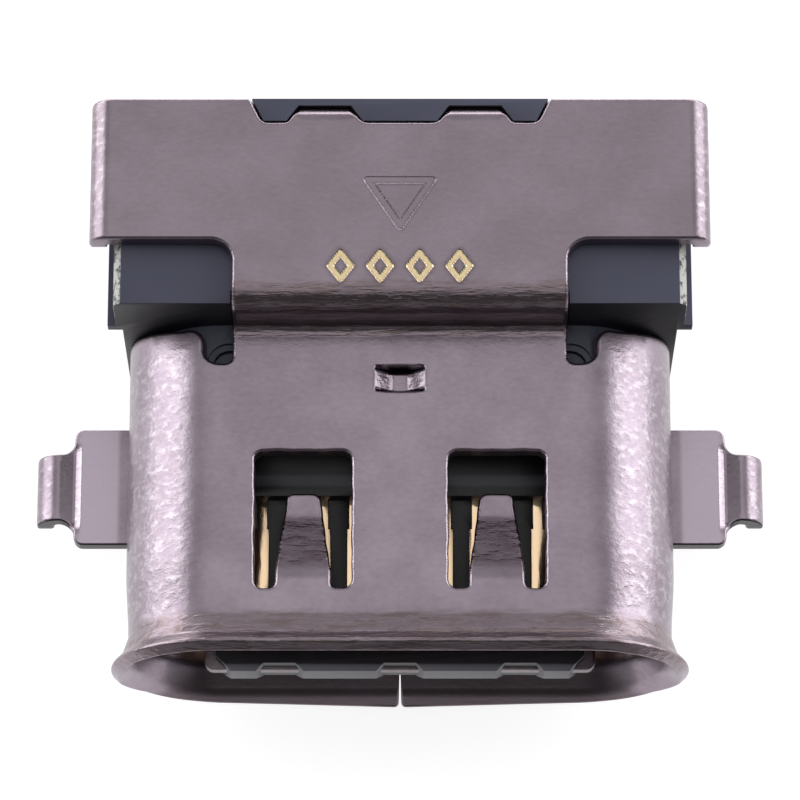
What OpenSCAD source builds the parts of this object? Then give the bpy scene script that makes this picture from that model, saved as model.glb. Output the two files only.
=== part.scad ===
// Surface-mount board socket for a reversible oval plug.
//
// One stamped sheet is rolled into a tube round the plug cavity. Its mouth is flared, spring
// fingers are bent into the cavity, a leg is turned out on each side, and a strip steps up from
// the tube's top and spreads into a cover over the rear. Inside sit a moulded housing, a tongue
// with a steel mid-plate, and two rows of contacts held by carriers.
//
// X runs across the socket, +Y to its rear, +Z away from the board.
// The origin is the middle of the mouth, in the plane of its rim.

/* [Sheet] */
// Thickness of the shell's sheet
sheet_t = 0.30; // [0.22:0.01:0.34]
// Inside radius where the sheet is folded square
fold_r = 0.05; // [0.03:0.01:0.1]
// Play between the shell and the housing
play = 0.02; // [0.01:0.01:0.04]

/* [Mouth and tube] */
// Width of the opening for the plug
bore_w = 8.34; // [8.1:0.02:8.7]
// Height of the opening for the plug
bore_h = 2.56; // [2.5:0.02:2.8]
// Depth of the plug cavity from the rim
cavity_l = 4.30; // [4.1:0.02:4.5]
// Length of the tube's top from the rim
tube_l = 5.52; // [5.4:0.02:5.9]
// How much further back the tube's sides reach than its top
side_lap = 0.15; // [0.08:0.01:0.22]
// Height above and below the middle where the tube's sides reach furthest back
side_lap_h = 0.55; // [0.3:0.01:0.8]
// Angle of the flared lip
flare_a = 30; // [20:1:35]
// Length of the flared lip
flare_l = 0.65; // [0.5:0.01:0.75]
// Depth of the waist behind the lip
waist_d = 0.05; // [0.02:0.01:0.08]
// Distance from the rim at which the waist has died out
waist_end = 1.62; // [1.4:0.02:1.8]
// Width of the butt seam under the tube
seam_w = 0.04; // [0.04:0.01:0.08]
// Width of the seam through the lip
seam_lip_w = 0.08; // [0.06:0.01:0.16]

/* [Spring fingers] */
// Distance of each window's middle from the socket's middle
window_x = 1.56; // [1.45:0.01:1.7]
// Width of a window
window_w = 1.68; // [1.5:0.01:1.8]
// Distance of the windows from the rim
window_front = 1.08; // [0.95:0.01:1.15]
// Length of a window
window_l = 2.34; // [2.2:0.01:2.6]
// Corner radius of a window
window_r = 0.14; // [0.08:0.01:0.2]
// Width of a finger at its root
finger_root_w = 0.90; // [0.8:0.01:1]
// Width of a finger at its tip
finger_tip_w = 0.54; // [0.4:0.01:0.7]
// Distance from the window's front to the first bend
finger_bend = 0.19; // [0.12:0.01:0.25]
// Length of the sloped part
finger_slope_l = 1.10; // [0.9:0.01:1.2]
// Length of the flat tip
finger_tip_l = 0.45; // [0.3:0.01:0.5]
// How far a finger dips into the cavity
finger_dip = 0.43; // [0.3:0.01:0.48]
// Corner radius of the tip
finger_tip_r = 0.13; // [0.05:0.01:0.18]

/* [Lance] */
// Width of the pressed bridge that locks the housing
lance_w = 0.92; // [0.7:0.01:1.1]
// Width of the flat in the middle of the bridge
lance_flat_w = 0.36; // [0.25:0.01:0.5]
// Length of the bridge
lance_l = 0.33; // [0.25:0.01:0.4]
// Depth of the bridge
lance_dip = 0.28; // [0.2:0.01:0.34]
// Width of the slit in front of the bridge
lance_slit_front = 0.04; // [0.04:0.01:0.06]
// Width of the slit behind the bridge
lance_slit_rear = 0.10; // [0.06:0.01:0.12]
// Distance from the end of the plug cavity to the front slit
lance_setback = 0.12; // [0.1:0.01:0.2]

/* [Legs] */
// Distance of the legs' middle from the rim
leg_y = 3.65; // [3.5:0.01:3.8]
// Length of the broad part of a leg along the tube
leg_broad_l = 2.02; // [1.8:0.01:2.2]
// Length of the narrow part of a leg along the tube
leg_narrow_l = 1.16; // [1:0.01:1.3]
// How far the broad part stands out from the tube
leg_shoulder = 0.91; // [0.8:0.01:1]
// How far the whole leg stands out from the tube
leg_reach = 1.60; // [1.55:0.01:1.8]
// Height of a leg's top above the board
leg_h = 0.55; // [0.5:0.01:0.6]
// Inside radius of the leg's bends
leg_fold_r = 0.10; // [0.05:0.01:0.14]
// Radius between the broad and the narrow part
leg_fillet_r = 0.25; // [0.1:0.01:0.3]
// Corner radius of the broad part
leg_corner_r = 0.15; // [0.05:0.01:0.2]
// Height of the gap's upper edge above the socket's middle
leg_gap_h = 0.65; // [0.5:0.01:0.8]
// Relief cut at each end of a leg
leg_relief = 0.08; // [0.04:0.01:0.12]

/* [Strip and cover] */
// Width of the strip that steps up from the tube
strip_w = 5.44; // [5.2:0.02:5.6]
// Width of the notch on each side of the strip
notch_w = 0.46; // [0.4:0.01:0.55]
// Length of the notch into the tube
notch_l = 0.61; // [0.5:0.01:0.66]
// Radius of the notch's outer corners
notch_r = 0.26; // [0.1:0.01:0.3]
// Height of the cover above the tube
step_h = 1.00; // [0.8:0.02:1.2]
// Length of the strip between the tube and the cover
strip_l = 1.16; // [1:0.02:1.3]
// Radius between the strip and the cover
strip_fillet_r = 0.30; // [0.15:0.01:0.4]
// Width of the cover
cover_w = 9.94; // [9.8:0.02:10.2]
// Length of the cover
cover_l = 2.47; // [2.4:0.02:2.8]
// Depth of the cover's bent sides
skirt_h = 0.46; // [0.4:0.01:0.8]
// Radius of the cover's rear corners
cover_corner_r = 0.20; // [0.1:0.01:0.3]
// Width of the cut-out in the cover's rear edge
cut_w = 4.90; // [4.6:0.02:5.1]
// Depth of the cut-out
cut_l = 0.42; // [0.36:0.01:0.5]
// Distance of each small tab's middle from the socket's middle
tab_x = 1.23; // [1.15:0.01:1.3]
// Width of a small tab at its end
tab_w = 0.82; // [0.7:0.01:0.9]
// Length of a small tab
tab_l = 0.27; // [0.2:0.01:0.3]
// How much a tab spreads on each side towards its root
tab_spread = 0.20; // [0.1:0.01:0.24]

/* [Housing] */
// Width of the housing's lower body
body_w = 9.10; // [9:0.02:9.2]
// Width of the thin ledge round the body
ledge_w = 9.58; // [9.5:0.02:9.7]
// Thickness of the ledge
ledge_t = 0.22; // [0.15:0.01:0.3]
// Height of the block above the ledge
crown_h = 1.02; // [0.9:0.01:1.1]
// Chamfer on the block's top edges
crown_chamfer = 0.12; // [0.08:0.01:0.2]
// How far the block's rear rib stays below the cover's top
rib_drop = 0.03; // [0.01:0.01:0.1]
// Outer radius of the round marks beside the strip
mark_r = 0.38; // [0.3:0.01:0.42]
// Inner radius of the marks
mark_core_r = 0.27; // [0.2:0.01:0.3]
// Depth of the marks' outer step
mark_step = 0.05; // [0.03:0.01:0.08]
// Distance of the marks from the tube's rear edge
mark_back = 0.55; // [0.5:0.01:0.6]

/* [Pegs] */
// Diameter of the locating pegs
peg_d = 0.60; // [0.5:0.01:0.7]
// Length of the pegs below the board's top
peg_l = 0.55; // [0.45:0.01:0.7]
// Distance between the pegs
peg_pitch = 7.30; // [7.2:0.02:7.6]
// Distance of the pegs from the socket's rear
peg_back = 1.43; // [1.2:0.01:1.6]
// Chamfer at the pegs' ends
peg_chamfer = 0.08; // [0.04:0.01:0.12]

/* [Tongue] */
// Width of the tongue
tongue_w = 6.69; // [6.5:0.01:6.8]
// Thickness of the tongue where the contacts lie
tongue_t = 0.70; // [0.66:0.01:0.8]
// Distance of the tongue's tip behind the rim
tongue_setback = 0.09; // [0.05:0.01:0.12]
// Length of the thin part, from the rim
blade_l = 2.95; // [2.8:0.01:3.05]
// Thickness of the step behind the blade
land_t = 1.20; // [1.1:0.01:1.24]
// Thickness of the tongue's root
root_t = 1.32; // [1.28:0.01:1.4]
// Length of the step
land_l = 0.17; // [0.1:0.01:0.25]
// Length of the slope from the step to the root
land_slope_l = 0.14; // [0.08:0.01:0.2]
// Depth of the notches in the tongue's front edge
nick_l = 0.10; // [0.07:0.01:0.14]
// Width of those notches at half their depth
nick_w = 0.65; // [0.5:0.01:0.8]
// Distance of the outer notches from the middle one
nick_pitch = 1.95; // [1.8:0.01:2.1]
// How much a notch narrows on each side towards its bottom
nick_slope = 0.14; // [0.05:0.01:0.2]
// Height of the chamfer on the front edge
tip_chamfer = 0.13; // [0.08:0.01:0.16]
// Depth of the chamfer on the front edge
tip_chamfer_l = 0.08; // [0.05:0.01:0.1]
// Width of the tongue's front edge
nose_w = 5.50; // [5.4:0.02:5.6]
// Depth of the recess at each front corner
corner_l = 0.67; // [0.55:0.01:0.75]
// Width of that recess
corner_w = 0.365; // [0.3:0.005:0.4]
// Depth of the latch notch in each side
latch_d = 0.30; // [0.2:0.01:0.34]
// Length of the latch notch
latch_l = 0.60; // [0.5:0.01:0.7]
// Distance of the latch notch from the rim
latch_y = 2.12; // [2:0.01:2.2]

/* [Mid-plate] */
// Thickness of the mid-plate
plate_t = 0.20; // [0.12:0.01:0.22]
// Width of the mid-plate
plate_w = 6.34; // [6.2:0.01:6.44]
// Distance of the plate's front edge from the rim
plate_front = 0.15; // [0.12:0.01:0.18]
// Corner radius of the plate
plate_r = 0.15; // [0.05:0.01:0.2]

/* [Contacts] */
// Distance between neighbouring contacts
pitch = 0.50; // [0.48:0.005:0.5]
// Width of a contact near the tongue's tip
contact_w = 0.24; // [0.2:0.01:0.27]
// Width of a contact behind that
shank_w = 0.17; // [0.14:0.01:0.19]
// Thickness of a contact
contact_t = 0.12; // [0.08:0.01:0.14]
// Distance of the long contacts' front ends from the rim
long_front = 0.67; // [0.55:0.01:0.75]
// How much further back the short contacts begin
short_setback = 0.30; // [0.2:0.01:0.4]
// Distance from the rim at which a contact narrows
neck_y = 2.47; // [2.3:0.01:2.6]
// Inside radius of a tail's bends
tail_r = 0.10; // [0.06:0.01:0.14]
// Length of a tail's foot
foot_l = 0.62; // [0.45:0.01:0.66]

/* [Carriers] */
// Thickness of the plastic above or below the mid-plate
carrier_h = 0.85; // [0.7:0.01:0.95]
// Length of the tongue's base behind the plug cavity
base_l = 0.82; // [0.6:0.01:0.9]
// Length of the lower carrier
lower_carrier_l = 0.95; // [0.85:0.01:1.05]
// Length of the bay over the front row of tails
front_bay_l = 1.05; // [1:0.01:1.2]
// Length of the bay over the rear row of tails
rear_bay_l = 0.85; // [0.8:0.01:1]

/* [Hidden] */
// Number of contacts in a row.
contact_count = 12;
contact_numbers = [for (i = [1 : contact_count]) i];
$fn = 64;

// Overlap of a cut with the air outside it.
eps = 0.01;

// The tube's ends are half circles about a line at end_x.
inner_r = bore_h / 2;
outer_r = inner_r + sheet_t;
end_x = (bore_w - bore_h) / 2;
side_x = end_x + outer_r;
board_z = -outer_r;

// Stations along the socket.
side_rear = tube_l + side_lap;
wall_rear = tube_l + sheet_t;
cover_front = tube_l + strip_l;
rear = cover_front + cover_l;
base_rear = cavity_l + base_l;
lower_rear = base_rear + lower_carrier_l;
front_bay_rear = lower_rear + front_bay_l;
upper_rear = rear - rear_bay_l;
window_rear = window_front + window_l;

// Heights.
cover_top = outer_r + step_h;
crown_top = cover_top - sheet_t;
ledge_top = crown_top - crown_h;
carrier_top = plate_t / 2 + carrier_h;
leg_top = board_z + leg_h;

// A leg's flat starts inside the tube's wall, where the wall is as low as the leg's top.
leg_root_x = end_x + (sqrt(inner_r ^ 2 - leg_top ^ 2) + sqrt(outer_r ^ 2 - (leg_top - sheet_t) ^ 2)) / 2;
leg_end_x = side_x + leg_reach;

// Waist of the tube: its depth at a distance y from the rim.
waist_front = flare_l + (waist_end - flare_l) / 5;
function waist(y) =
    y < waist_front ? waist_d : max(0, waist_d * (waist_end - y) / (waist_end - waist_front));

// The lip, as a parallel pair of slopes that start at a crease.
lip_cut = sheet_t * sin(flare_a);
lip_rise = (flare_l - lip_cut) * tan(flare_a);
lip_crease_in = flare_l - sheet_t * tan(flare_a / 2);
lip_r_in = inner_r - waist_d + lip_crease_in * tan(flare_a);
lip_r_out = outer_r - waist_d + lip_rise;

// ---- Placing flat outlines -----------------------------------------------------------------

// Draws an outline of (x, z) along Y.
module along_y(y0, y1) {
    translate([0, y1, 0]) rotate([90, 0, 0]) linear_extrude(y1 - y0) children();
}

// Draws an outline of (y, z) along X.
module along_x(x0, x1) {
    translate([x0, 0, 0]) rotate([90, 0, 90]) linear_extrude(x1 - x0) children();
}

// Draws an outline of (x, y) up Z.
module up_z(z0, z1) {
    translate([0, 0, z0]) linear_extrude(z1 - z0) children();
}

module both_sides() {
    children();
    mirror([1, 0, 0]) children();
}

module top_and_bottom() {
    children();
    mirror([0, 0, 1]) children();
}

// ---- Flat outlines ---------------------------------------------------------------------------

// A flat slot with round ends.
module oval(w, h) {
    square([w - h, h], center = true);
    for (s = [-1, 1]) translate([s * (w - h) / 2, 0]) circle(h / 2);
}

module rectangle(x0, y0, x1, y1) {
    translate([x0, y0]) square([x1 - x0, y1 - y0]);
}

module rounded_rectangle(x0, y0, x1, y1, r) {
    rectangle(x0 + r, y0, x1 - r, y1);
    rectangle(x0, y0 + r, x1, y1 - r);
    for (x = [x0 + r, x1 - r], y = [y0 + r, y1 - r]) translate([x, y]) circle(r);
}

// What lies between a square corner at the origin, which opens to +X and +Y, and a round one.
// It is taken off an outside corner, or added in an inside corner.
module corner_piece(r) {
    difference() {
        translate([-eps, -eps]) square(r + eps);
        translate([r, r]) circle(r);
    }
}

// A quarter of a bent sheet, from angle 0 to 90.
module quarter_bend(r, t) {
    intersection() {
        difference() {
            circle(r + t);
            circle(r);
        }
        square(r + t + eps);
    }
}

// ---- Shell -------------------------------------------------------------------------------------

// Section of the tube's wall as (distance from the end line, y).
tube_section = [
    [inner_r, side_rear],
    [inner_r, waist_end],
    [inner_r - waist_d, waist_front],
    [inner_r - waist_d, lip_crease_in],
    [lip_r_in, 0],
    [lip_r_out, lip_cut],
    [outer_r - waist_d, flare_l],
    [outer_r - waist_d, waist_front],
    [outer_r, waist_end],
    [outer_r, side_rear]
];

module rolled_tube() {
    both_sides()
        translate([end_x, 0, 0]) rotate([-90, 0, 0]) rotate([0, 0, -90])
            rotate_extrude(angle = 180) polygon(tube_section);
    top_and_bottom()
        along_x(-end_x, end_x) polygon([for (p = tube_section) [p[1], p[0]]]);
}

// Everything cut from the tube's rear edge: its top and bottom end before its sides do.
module tube_rear_trim() {
    top_and_bottom()
        along_x(-side_x - eps, side_x + eps)
            polygon([
                [tube_l, outer_r + eps],
                [tube_l, inner_r],
                [side_rear, side_lap_h],
                [side_rear + eps, side_lap_h],
                [side_rear + eps, outer_r + eps]
            ]);
    // The strip leaves the tube a bend's radius before the edge.
    up_z(0, outer_r + eps)
        rectangle(-strip_w / 2 - eps, tube_l - fold_r, strip_w / 2 + eps, side_rear + eps);
}

// Outline of the relief notch beside the strip, with its outer corners rounded.
module notch_outline() {
    x0 = strip_w / 2;
    x1 = x0 + notch_w;
    y0 = tube_l - notch_l;
    y1 = tube_l + eps;
    small_r = notch_r / 2;
    difference() {
        rectangle(x0, y0, x1, y1);
        translate([x0, y0]) corner_piece(small_r);
        translate([x1, y0]) mirror([1, 0]) corner_piece(notch_r);
    }
    translate([x1, y1]) mirror([0, 1]) corner_piece(notch_r);
}

module window_outline() {
    rounded_rectangle(
        window_x - window_w / 2, window_front,
        window_x + window_w / 2, window_rear, window_r
    );
}

// The finger from the side, as (y, z), and from above.
finger_bend_y = window_front + finger_bend;
finger_knee_y = finger_bend_y + finger_slope_l;
finger_end_y = finger_knee_y + finger_tip_l;

module finger_side() {
    y_in = window_front - sheet_t / 2;
    top = [
        [y_in, outer_r - waist(y_in)],
        [finger_bend_y, outer_r - waist(finger_bend_y)],
        [finger_knee_y, outer_r - finger_dip],
        [finger_end_y, outer_r - finger_dip]
    ];
    polygon(concat(top, [for (i = [len(top) - 1 : -1 : 0]) top[i] - [0, sheet_t]]));
}

module finger_plan() {
    root = finger_root_w / 2;
    tip = finger_tip_w / 2;
    difference() {
        polygon([
            [-root, 0], [root, 0], [root, finger_bend_y],
            [tip, finger_end_y], [-tip, finger_end_y], [-root, finger_bend_y]
        ]);
        for (s = [0, 1]) mirror([s, 0])
            translate([tip, finger_end_y]) rotate(180) corner_piece(finger_tip_r);
    }
}

module finger() {
    intersection() {
        along_x(window_x - finger_root_w / 2, window_x + finger_root_w / 2) finger_side();
        up_z(0, outer_r + eps) translate([window_x, 0]) finger_plan();
    }
}

// The pressed bridge and the opening that it is sheared from.
lance_front = cavity_l + lance_setback;
lance_bridge_y = lance_front + lance_slit_front;
lance_rear = lance_bridge_y + lance_l + lance_slit_rear;

module lance_opening() {
    up_z(0, outer_r + eps) rectangle(-lance_w / 2, lance_front, lance_w / 2, lance_rear);
}

module lance_bridge() {
    top = [
        [-lance_w / 2 - eps, outer_r],
        [-lance_w / 2, outer_r],
        [-lance_flat_w / 2, outer_r - lance_dip],
        [lance_flat_w / 2, outer_r - lance_dip],
        [lance_w / 2, outer_r],
        [lance_w / 2 + eps, outer_r]
    ];
    along_y(lance_bridge_y, lance_bridge_y + lance_l)
        polygon(concat(top, [for (i = [len(top) - 1 : -1 : 0]) top[i] - [0, sheet_t]]));
}

// Opening in the tube's side that a leg is turned out of. It is level with the leg's top.
module leg_gap() {
    half = leg_broad_l / 2 + leg_relief;
    along_y(leg_y - half, leg_y + half) rectangle(end_x, leg_top, side_x + eps, leg_gap_h);
}

// A leg from the front, as (x, z): flat, quarter bend and foot.
module leg_section() {
    bend_x = leg_end_x - sheet_t - leg_fold_r;
    bend_z = leg_top - sheet_t - leg_fold_r;
    rectangle(leg_root_x, leg_top - sheet_t, bend_x, leg_top);
    translate([bend_x, bend_z]) quarter_bend(leg_fold_r, sheet_t);
    rectangle(leg_end_x - sheet_t, board_z, leg_end_x, bend_z);
}

module leg_plan() {
    shoulder_x = side_x + leg_shoulder;
    half_broad = leg_broad_l / 2;
    half_narrow = leg_narrow_l / 2;
    translate([0, leg_y]) for (s = [0, 1]) mirror([0, s]) {
        difference() {
            rectangle(0, 0, shoulder_x, half_broad);
            translate([shoulder_x, half_broad]) rotate(180) corner_piece(leg_corner_r);
        }
        rectangle(0, 0, leg_end_x + eps, half_narrow);
        translate([shoulder_x, half_narrow]) corner_piece(leg_fillet_r);
    }
}

module leg() {
    intersection() {
        along_y(leg_y - leg_broad_l / 2, leg_y + leg_broad_l / 2) leg_section();
        up_z(board_z, leg_top) leg_plan();
    }
}

// The strip from the side, as (y, z): bend up, wall, bend back and the start of the cover.
module strip_side() {
    low_z = outer_r + fold_r;
    high_z = crown_top - fold_r;
    translate([tube_l - fold_r, low_z]) mirror([0, 1]) quarter_bend(fold_r, sheet_t);
    rectangle(tube_l, low_z, wall_rear, high_z);
    translate([wall_rear + fold_r, high_z]) mirror([1, 0]) quarter_bend(fold_r, sheet_t);
    rectangle(wall_rear + fold_r, crown_top, cover_front + eps, cover_top);
}

// The cover from behind, as (x, z): a flat top with both sides bent down.
module cover_section() {
    bend_x = cover_w / 2 - sheet_t - fold_r;
    bend_z = crown_top - fold_r;
    rectangle(-bend_x, crown_top, bend_x, cover_top);
    for (s = [0, 1]) mirror([s, 0]) {
        translate([bend_x, bend_z]) quarter_bend(fold_r, sheet_t);
        rectangle(cover_w / 2 - sheet_t, cover_top - skirt_h, cover_w / 2, bend_z);
    }
}

// Cut-out in the cover's rear edge, which leaves two small tabs, or what fills it but for a gap.
module cut_outline(gap) {
    y0 = rear - cut_l + gap;
    half = cut_w / 2 - gap;
    half_tab = tab_w / 2 + gap;
    difference() {
        polygon([
            [tab_spread - half, y0], [half - tab_spread, y0],
            [half, rear + eps], [-half, rear + eps]
        ]);
        for (s = [-1, 1]) translate([s * tab_x, y0]) polygon([
            [-half_tab - tab_spread, -eps], [half_tab + tab_spread, -eps],
            [half_tab, tab_l], [-half_tab, tab_l]
        ]);
    }
}

module cover() {
    difference() {
        along_y(cover_front, rear) cover_section();
        up_z(crown_top - eps, cover_top + eps) cut_outline(0);
        both_sides()
            up_z(crown_top - sheet_t, cover_top + eps)
                translate([cover_w / 2, rear]) rotate(180) corner_piece(cover_corner_r);
    }
    both_sides()
        up_z(crown_top, cover_top)
            translate([strip_w / 2, cover_front]) mirror([0, 1]) corner_piece(strip_fillet_r);
}

module seam() {
    up_z(board_z - outer_r, 0) {
        rectangle(-seam_w / 2, flare_l - eps, seam_w / 2, side_rear + eps);
        polygon([
            [-seam_w / 2, flare_l], [-seam_lip_w / 2, -eps],
            [seam_lip_w / 2, -eps], [seam_w / 2, flare_l]
        ]);
    }
}

module shell() {
    color("#8f8490") {
        difference() {
            rolled_tube();
            tube_rear_trim();
            seam();
            lance_opening();
            both_sides() {
                up_z(0, outer_r + eps) notch_outline();
                up_z(-outer_r - eps, outer_r + eps) window_outline();
                leg_gap();
            }
        }
        both_sides() {
            top_and_bottom() finger();
            leg();
        }
        lance_bridge();
        along_x(-strip_w / 2, strip_w / 2) strip_side();
        cover();
    }
}

// ---- Housing -----------------------------------------------------------------------------------

crown_w = cover_w - 2 * sheet_t - 2 * play;
mark_x = strip_w / 2 + notch_w / 8;
bay_w = tongue_w;

module housing_section() {
    half = crown_w / 2;
    rectangle(-body_w / 2, board_z, body_w / 2, ledge_top);
    rectangle(-ledge_w / 2, ledge_top - ledge_t, ledge_w / 2, ledge_top);
    polygon([
        [-half, ledge_top - ledge_t], [half, ledge_top - ledge_t],
        [half, crown_top - crown_chamfer], [half - crown_chamfer, crown_top],
        [crown_chamfer - half, crown_top], [-half, crown_top - crown_chamfer]
    ]);
}

module neck() {
    along_y(cavity_l, side_rear + eps) oval(bore_w - 2 * play, bore_h - 2 * play);
}

// Space for the shell in the housing: the strip's wall and bend, and the pressed bridge.
module shell_seat() {
    seat_rear = wall_rear + play;
    along_x(-strip_w / 2 - play, strip_w / 2 + play) polygon([
        [side_rear - eps, inner_r - play],
        [seat_rear, inner_r - play],
        [seat_rear, crown_top - fold_r],
        [seat_rear + fold_r, crown_top],
        [seat_rear + fold_r, crown_top + eps],
        [side_rear - eps, crown_top + eps]
    ]);
    up_z(outer_r - lance_dip - sheet_t - play, outer_r)
        rectangle(-lance_w / 2 - play, lance_front, lance_w / 2 + play, lance_rear);
}

module round_mark() {
    translate([mark_x, tube_l - mark_back, inner_r - play]) {
        translate([0, 0, -mark_step]) cylinder(r = mark_r, h = sheet_t);
        translate([0, 0, -3 * mark_step]) cylinder(r = mark_core_r, h = sheet_t);
    }
}

// Space for the tongue's base and the two carriers.
module core_seat() {
    half = tongue_w / 2;
    along_x(-half, half) {
        rectangle(cavity_l - eps, -root_t / 2, base_rear + eps, root_t / 2);
        rectangle(base_rear, -carrier_top, lower_rear, carrier_top);
        rectangle(lower_rear - eps, -plate_t / 2, rear + eps, carrier_top);
    }
}

// Open bays in the underside and the rear that the tails come down in.
module tail_bays() {
    along_x(-bay_w / 2, bay_w / 2) {
        rectangle(lower_rear - eps, board_z - eps, front_bay_rear, -plate_t / 2 + eps);
        rectangle(upper_rear, board_z - eps, rear + eps, -plate_t / 2 + eps);
    }
}

module peg() {
    translate([peg_pitch / 2, rear - peg_back, board_z])
        rotate_extrude() polygon([
            [0, sheet_t], [peg_d / 2, sheet_t],
            [peg_d / 2, peg_chamfer - peg_l], [peg_d / 2 - peg_chamfer, -peg_l],
            [0, -peg_l]
        ]);
}

// Rib on the block that fills the cut-out in the cover's rear edge.
module rear_rib() {
    intersection() {
        up_z(crown_top - sheet_t, cover_top - rib_drop) cut_outline(play);
        along_y(upper_rear, rear) rectangle(-cover_w / 2, 0, cover_w / 2, cover_top);
    }
}

module housing() {
    color("#26272b") {
        difference() {
            union() {
                along_y(side_rear, rear) housing_section();
                neck();
                rear_rib();
            }
            shell_seat();
            core_seat();
            tail_bays();
            both_sides() round_mark();
        }
        both_sides() peg();
    }
}

// ---- Mid-plate ---------------------------------------------------------------------------------

module mid_plate() {
    half = plate_w / 2;
    notch = half - (tongue_w / 2 - latch_d);
    color("#b9b4b6")
        up_z(-plate_t / 2, plate_t / 2) difference() {
            rounded_rectangle(-half, plate_front, half, lower_rear, plate_r);
            for (s = [0, 1]) mirror([s, 0])
                rectangle(half - notch, latch_y, half + eps, latch_y + latch_l);
        }
}

// ---- Contacts ----------------------------------------------------------------------------------

// Power and ground contacts reach further forward than the others.
function is_long(i) = i == 1 || i == 4 || i == 9 || i == 12;
function contact_x(i) = (i - (contact_count + 1) / 2) * pitch;
function contact_front(i) = long_front + (is_long(i) ? 0 : short_setback);

// A contact of the upper or lower row, with its tail behind exit_y.
// Its foot lies on the board behind the bend.
module contact_side(exit_y, top_z) {
    drop_y = exit_y + tail_r + contact_t;
    foot_z = board_z + contact_t;
    bottom_z = top_z - contact_t;
    rectangle(neck_y, bottom_z, exit_y, top_z);
    translate([exit_y, bottom_z - tail_r]) quarter_bend(tail_r, contact_t);
    rectangle(drop_y - contact_t, foot_z + tail_r, drop_y, bottom_z - tail_r);
    translate([drop_y + tail_r, foot_z + tail_r]) rotate(180) quarter_bend(tail_r, contact_t);
    rectangle(drop_y + tail_r, board_z, exit_y + foot_l, foot_z);
}

module contact(i, exit_y, top_z) {
    translate([contact_x(i), 0, 0]) {
        along_x(-contact_w / 2, contact_w / 2)
            rectangle(contact_front(i), top_z - contact_t, neck_y, top_z);
        along_x(-shank_w / 2, shank_w / 2) contact_side(exit_y, top_z);
    }
}

module contact_a(i) {
    contact(i, upper_rear + contact_t / 2, tongue_t / 2);
}

module contact_b(i) {
    contact(i, lower_rear + contact_t / 2, contact_t - tongue_t / 2);
}

module all_contacts() {
    for (i = contact_numbers) {
        contact_a(i);
        contact_b(i);
    }
}

// ---- Tongue and carriers ---------------------------------------------------------------------

// Closes an outline that starts and ends on a mirror line with its mirror image.
function with_mirror(points, flip) =
    concat(points, [for (i = [len(points) - 1 : -1 : 0]) [points[i][0] * flip[0], points[i][1] * flip[1]]]);

// The tongue from the side, as (y, z).
module tongue_side() {
    land_rear = blade_l + land_l;
    polygon(with_mirror([
        [tongue_setback, tongue_t / 2 - tip_chamfer],
        [tongue_setback + tip_chamfer_l, tongue_t / 2],
        [blade_l, tongue_t / 2],
        [blade_l, land_t / 2],
        [land_rear, land_t / 2],
        [land_rear + land_slope_l, root_t / 2],
        [base_rear, root_t / 2]
    ], [1, -1]));
}

// Trapezoid notch in the front edge.
module nick() {
    mouth = (nick_w + nick_slope) / 2;
    bottom = (nick_w - nick_slope) / 2;
    translate([0, tongue_setback]) polygon([
        [-mouth, -eps], [mouth, -eps], [bottom, nick_l], [-bottom, nick_l]
    ]);
}

// The tongue from above, as (x, y).
module tongue_plan() {
    half = tongue_w / 2;
    corner_x = half - corner_w;
    difference() {
        polygon(with_mirror([
            [nose_w / 2, tongue_setback],
            [corner_x, corner_x - nose_w / 2 + tongue_setback],
            [corner_x, corner_l - corner_w / 2],
            [half, corner_l],
            [half, latch_y],
            [half - latch_d, latch_y],
            [half - latch_d, latch_y + latch_l],
            [half, latch_y + latch_l],
            [half, base_rear]
        ], [-1, 1]));
        for (i = [-1 : 1]) translate([i * nick_pitch, 0]) nick();
    }
}

module tongue() {
    color("#1c1d20")
        difference() {
            intersection() {
                along_x(-tongue_w / 2, tongue_w / 2) tongue_side();
                up_z(-root_t / 2 - eps, root_t / 2 + eps) tongue_plan();
            }
            mid_plate();
            all_contacts();
        }
}

module upper_carrier() {
    color("#303136")
        difference() {
            along_x(-tongue_w / 2, tongue_w / 2) {
                rectangle(base_rear, 0, upper_rear, carrier_top);
                rectangle(lower_rear, -plate_t / 2, upper_rear, eps);
            }
            mid_plate();
            for (i = contact_numbers) contact_a(i);
        }
}

module lower_carrier() {
    color("#303136")
        difference() {
            along_x(-tongue_w / 2, tongue_w / 2)
                rectangle(base_rear, -carrier_top, lower_rear, 0);
            mid_plate();
            for (i = contact_numbers) contact_b(i);
        }
}

// ---- Drawing -----------------------------------------------------------------------------------

shell();
housing();
tongue();
mid_plate();
upper_carrier();
lower_carrier();
for (i = contact_numbers) {
    color("#e8bd8c") contact_a(i);
    color("#e8bd8c") contact_b(i);
}
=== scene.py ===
# %% [markdown]
# # Board socket for a reversible oval plug
# This notebook dresses a packed CAD model of a small board socket. The model comes in as a fixed frame in
# metres, and nothing in it is moved. The metal shell is made again here the way a press makes it: a flat
# blank is punched, and then folded. The plastic and the contacts keep their CAD shapes and get worn edges.

# %% Load the frame
import math

import bmesh
import bpy
import numpy as np
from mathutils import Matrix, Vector, kdtree
from mathutils.geometry import delaunay_2d_cdt


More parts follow.
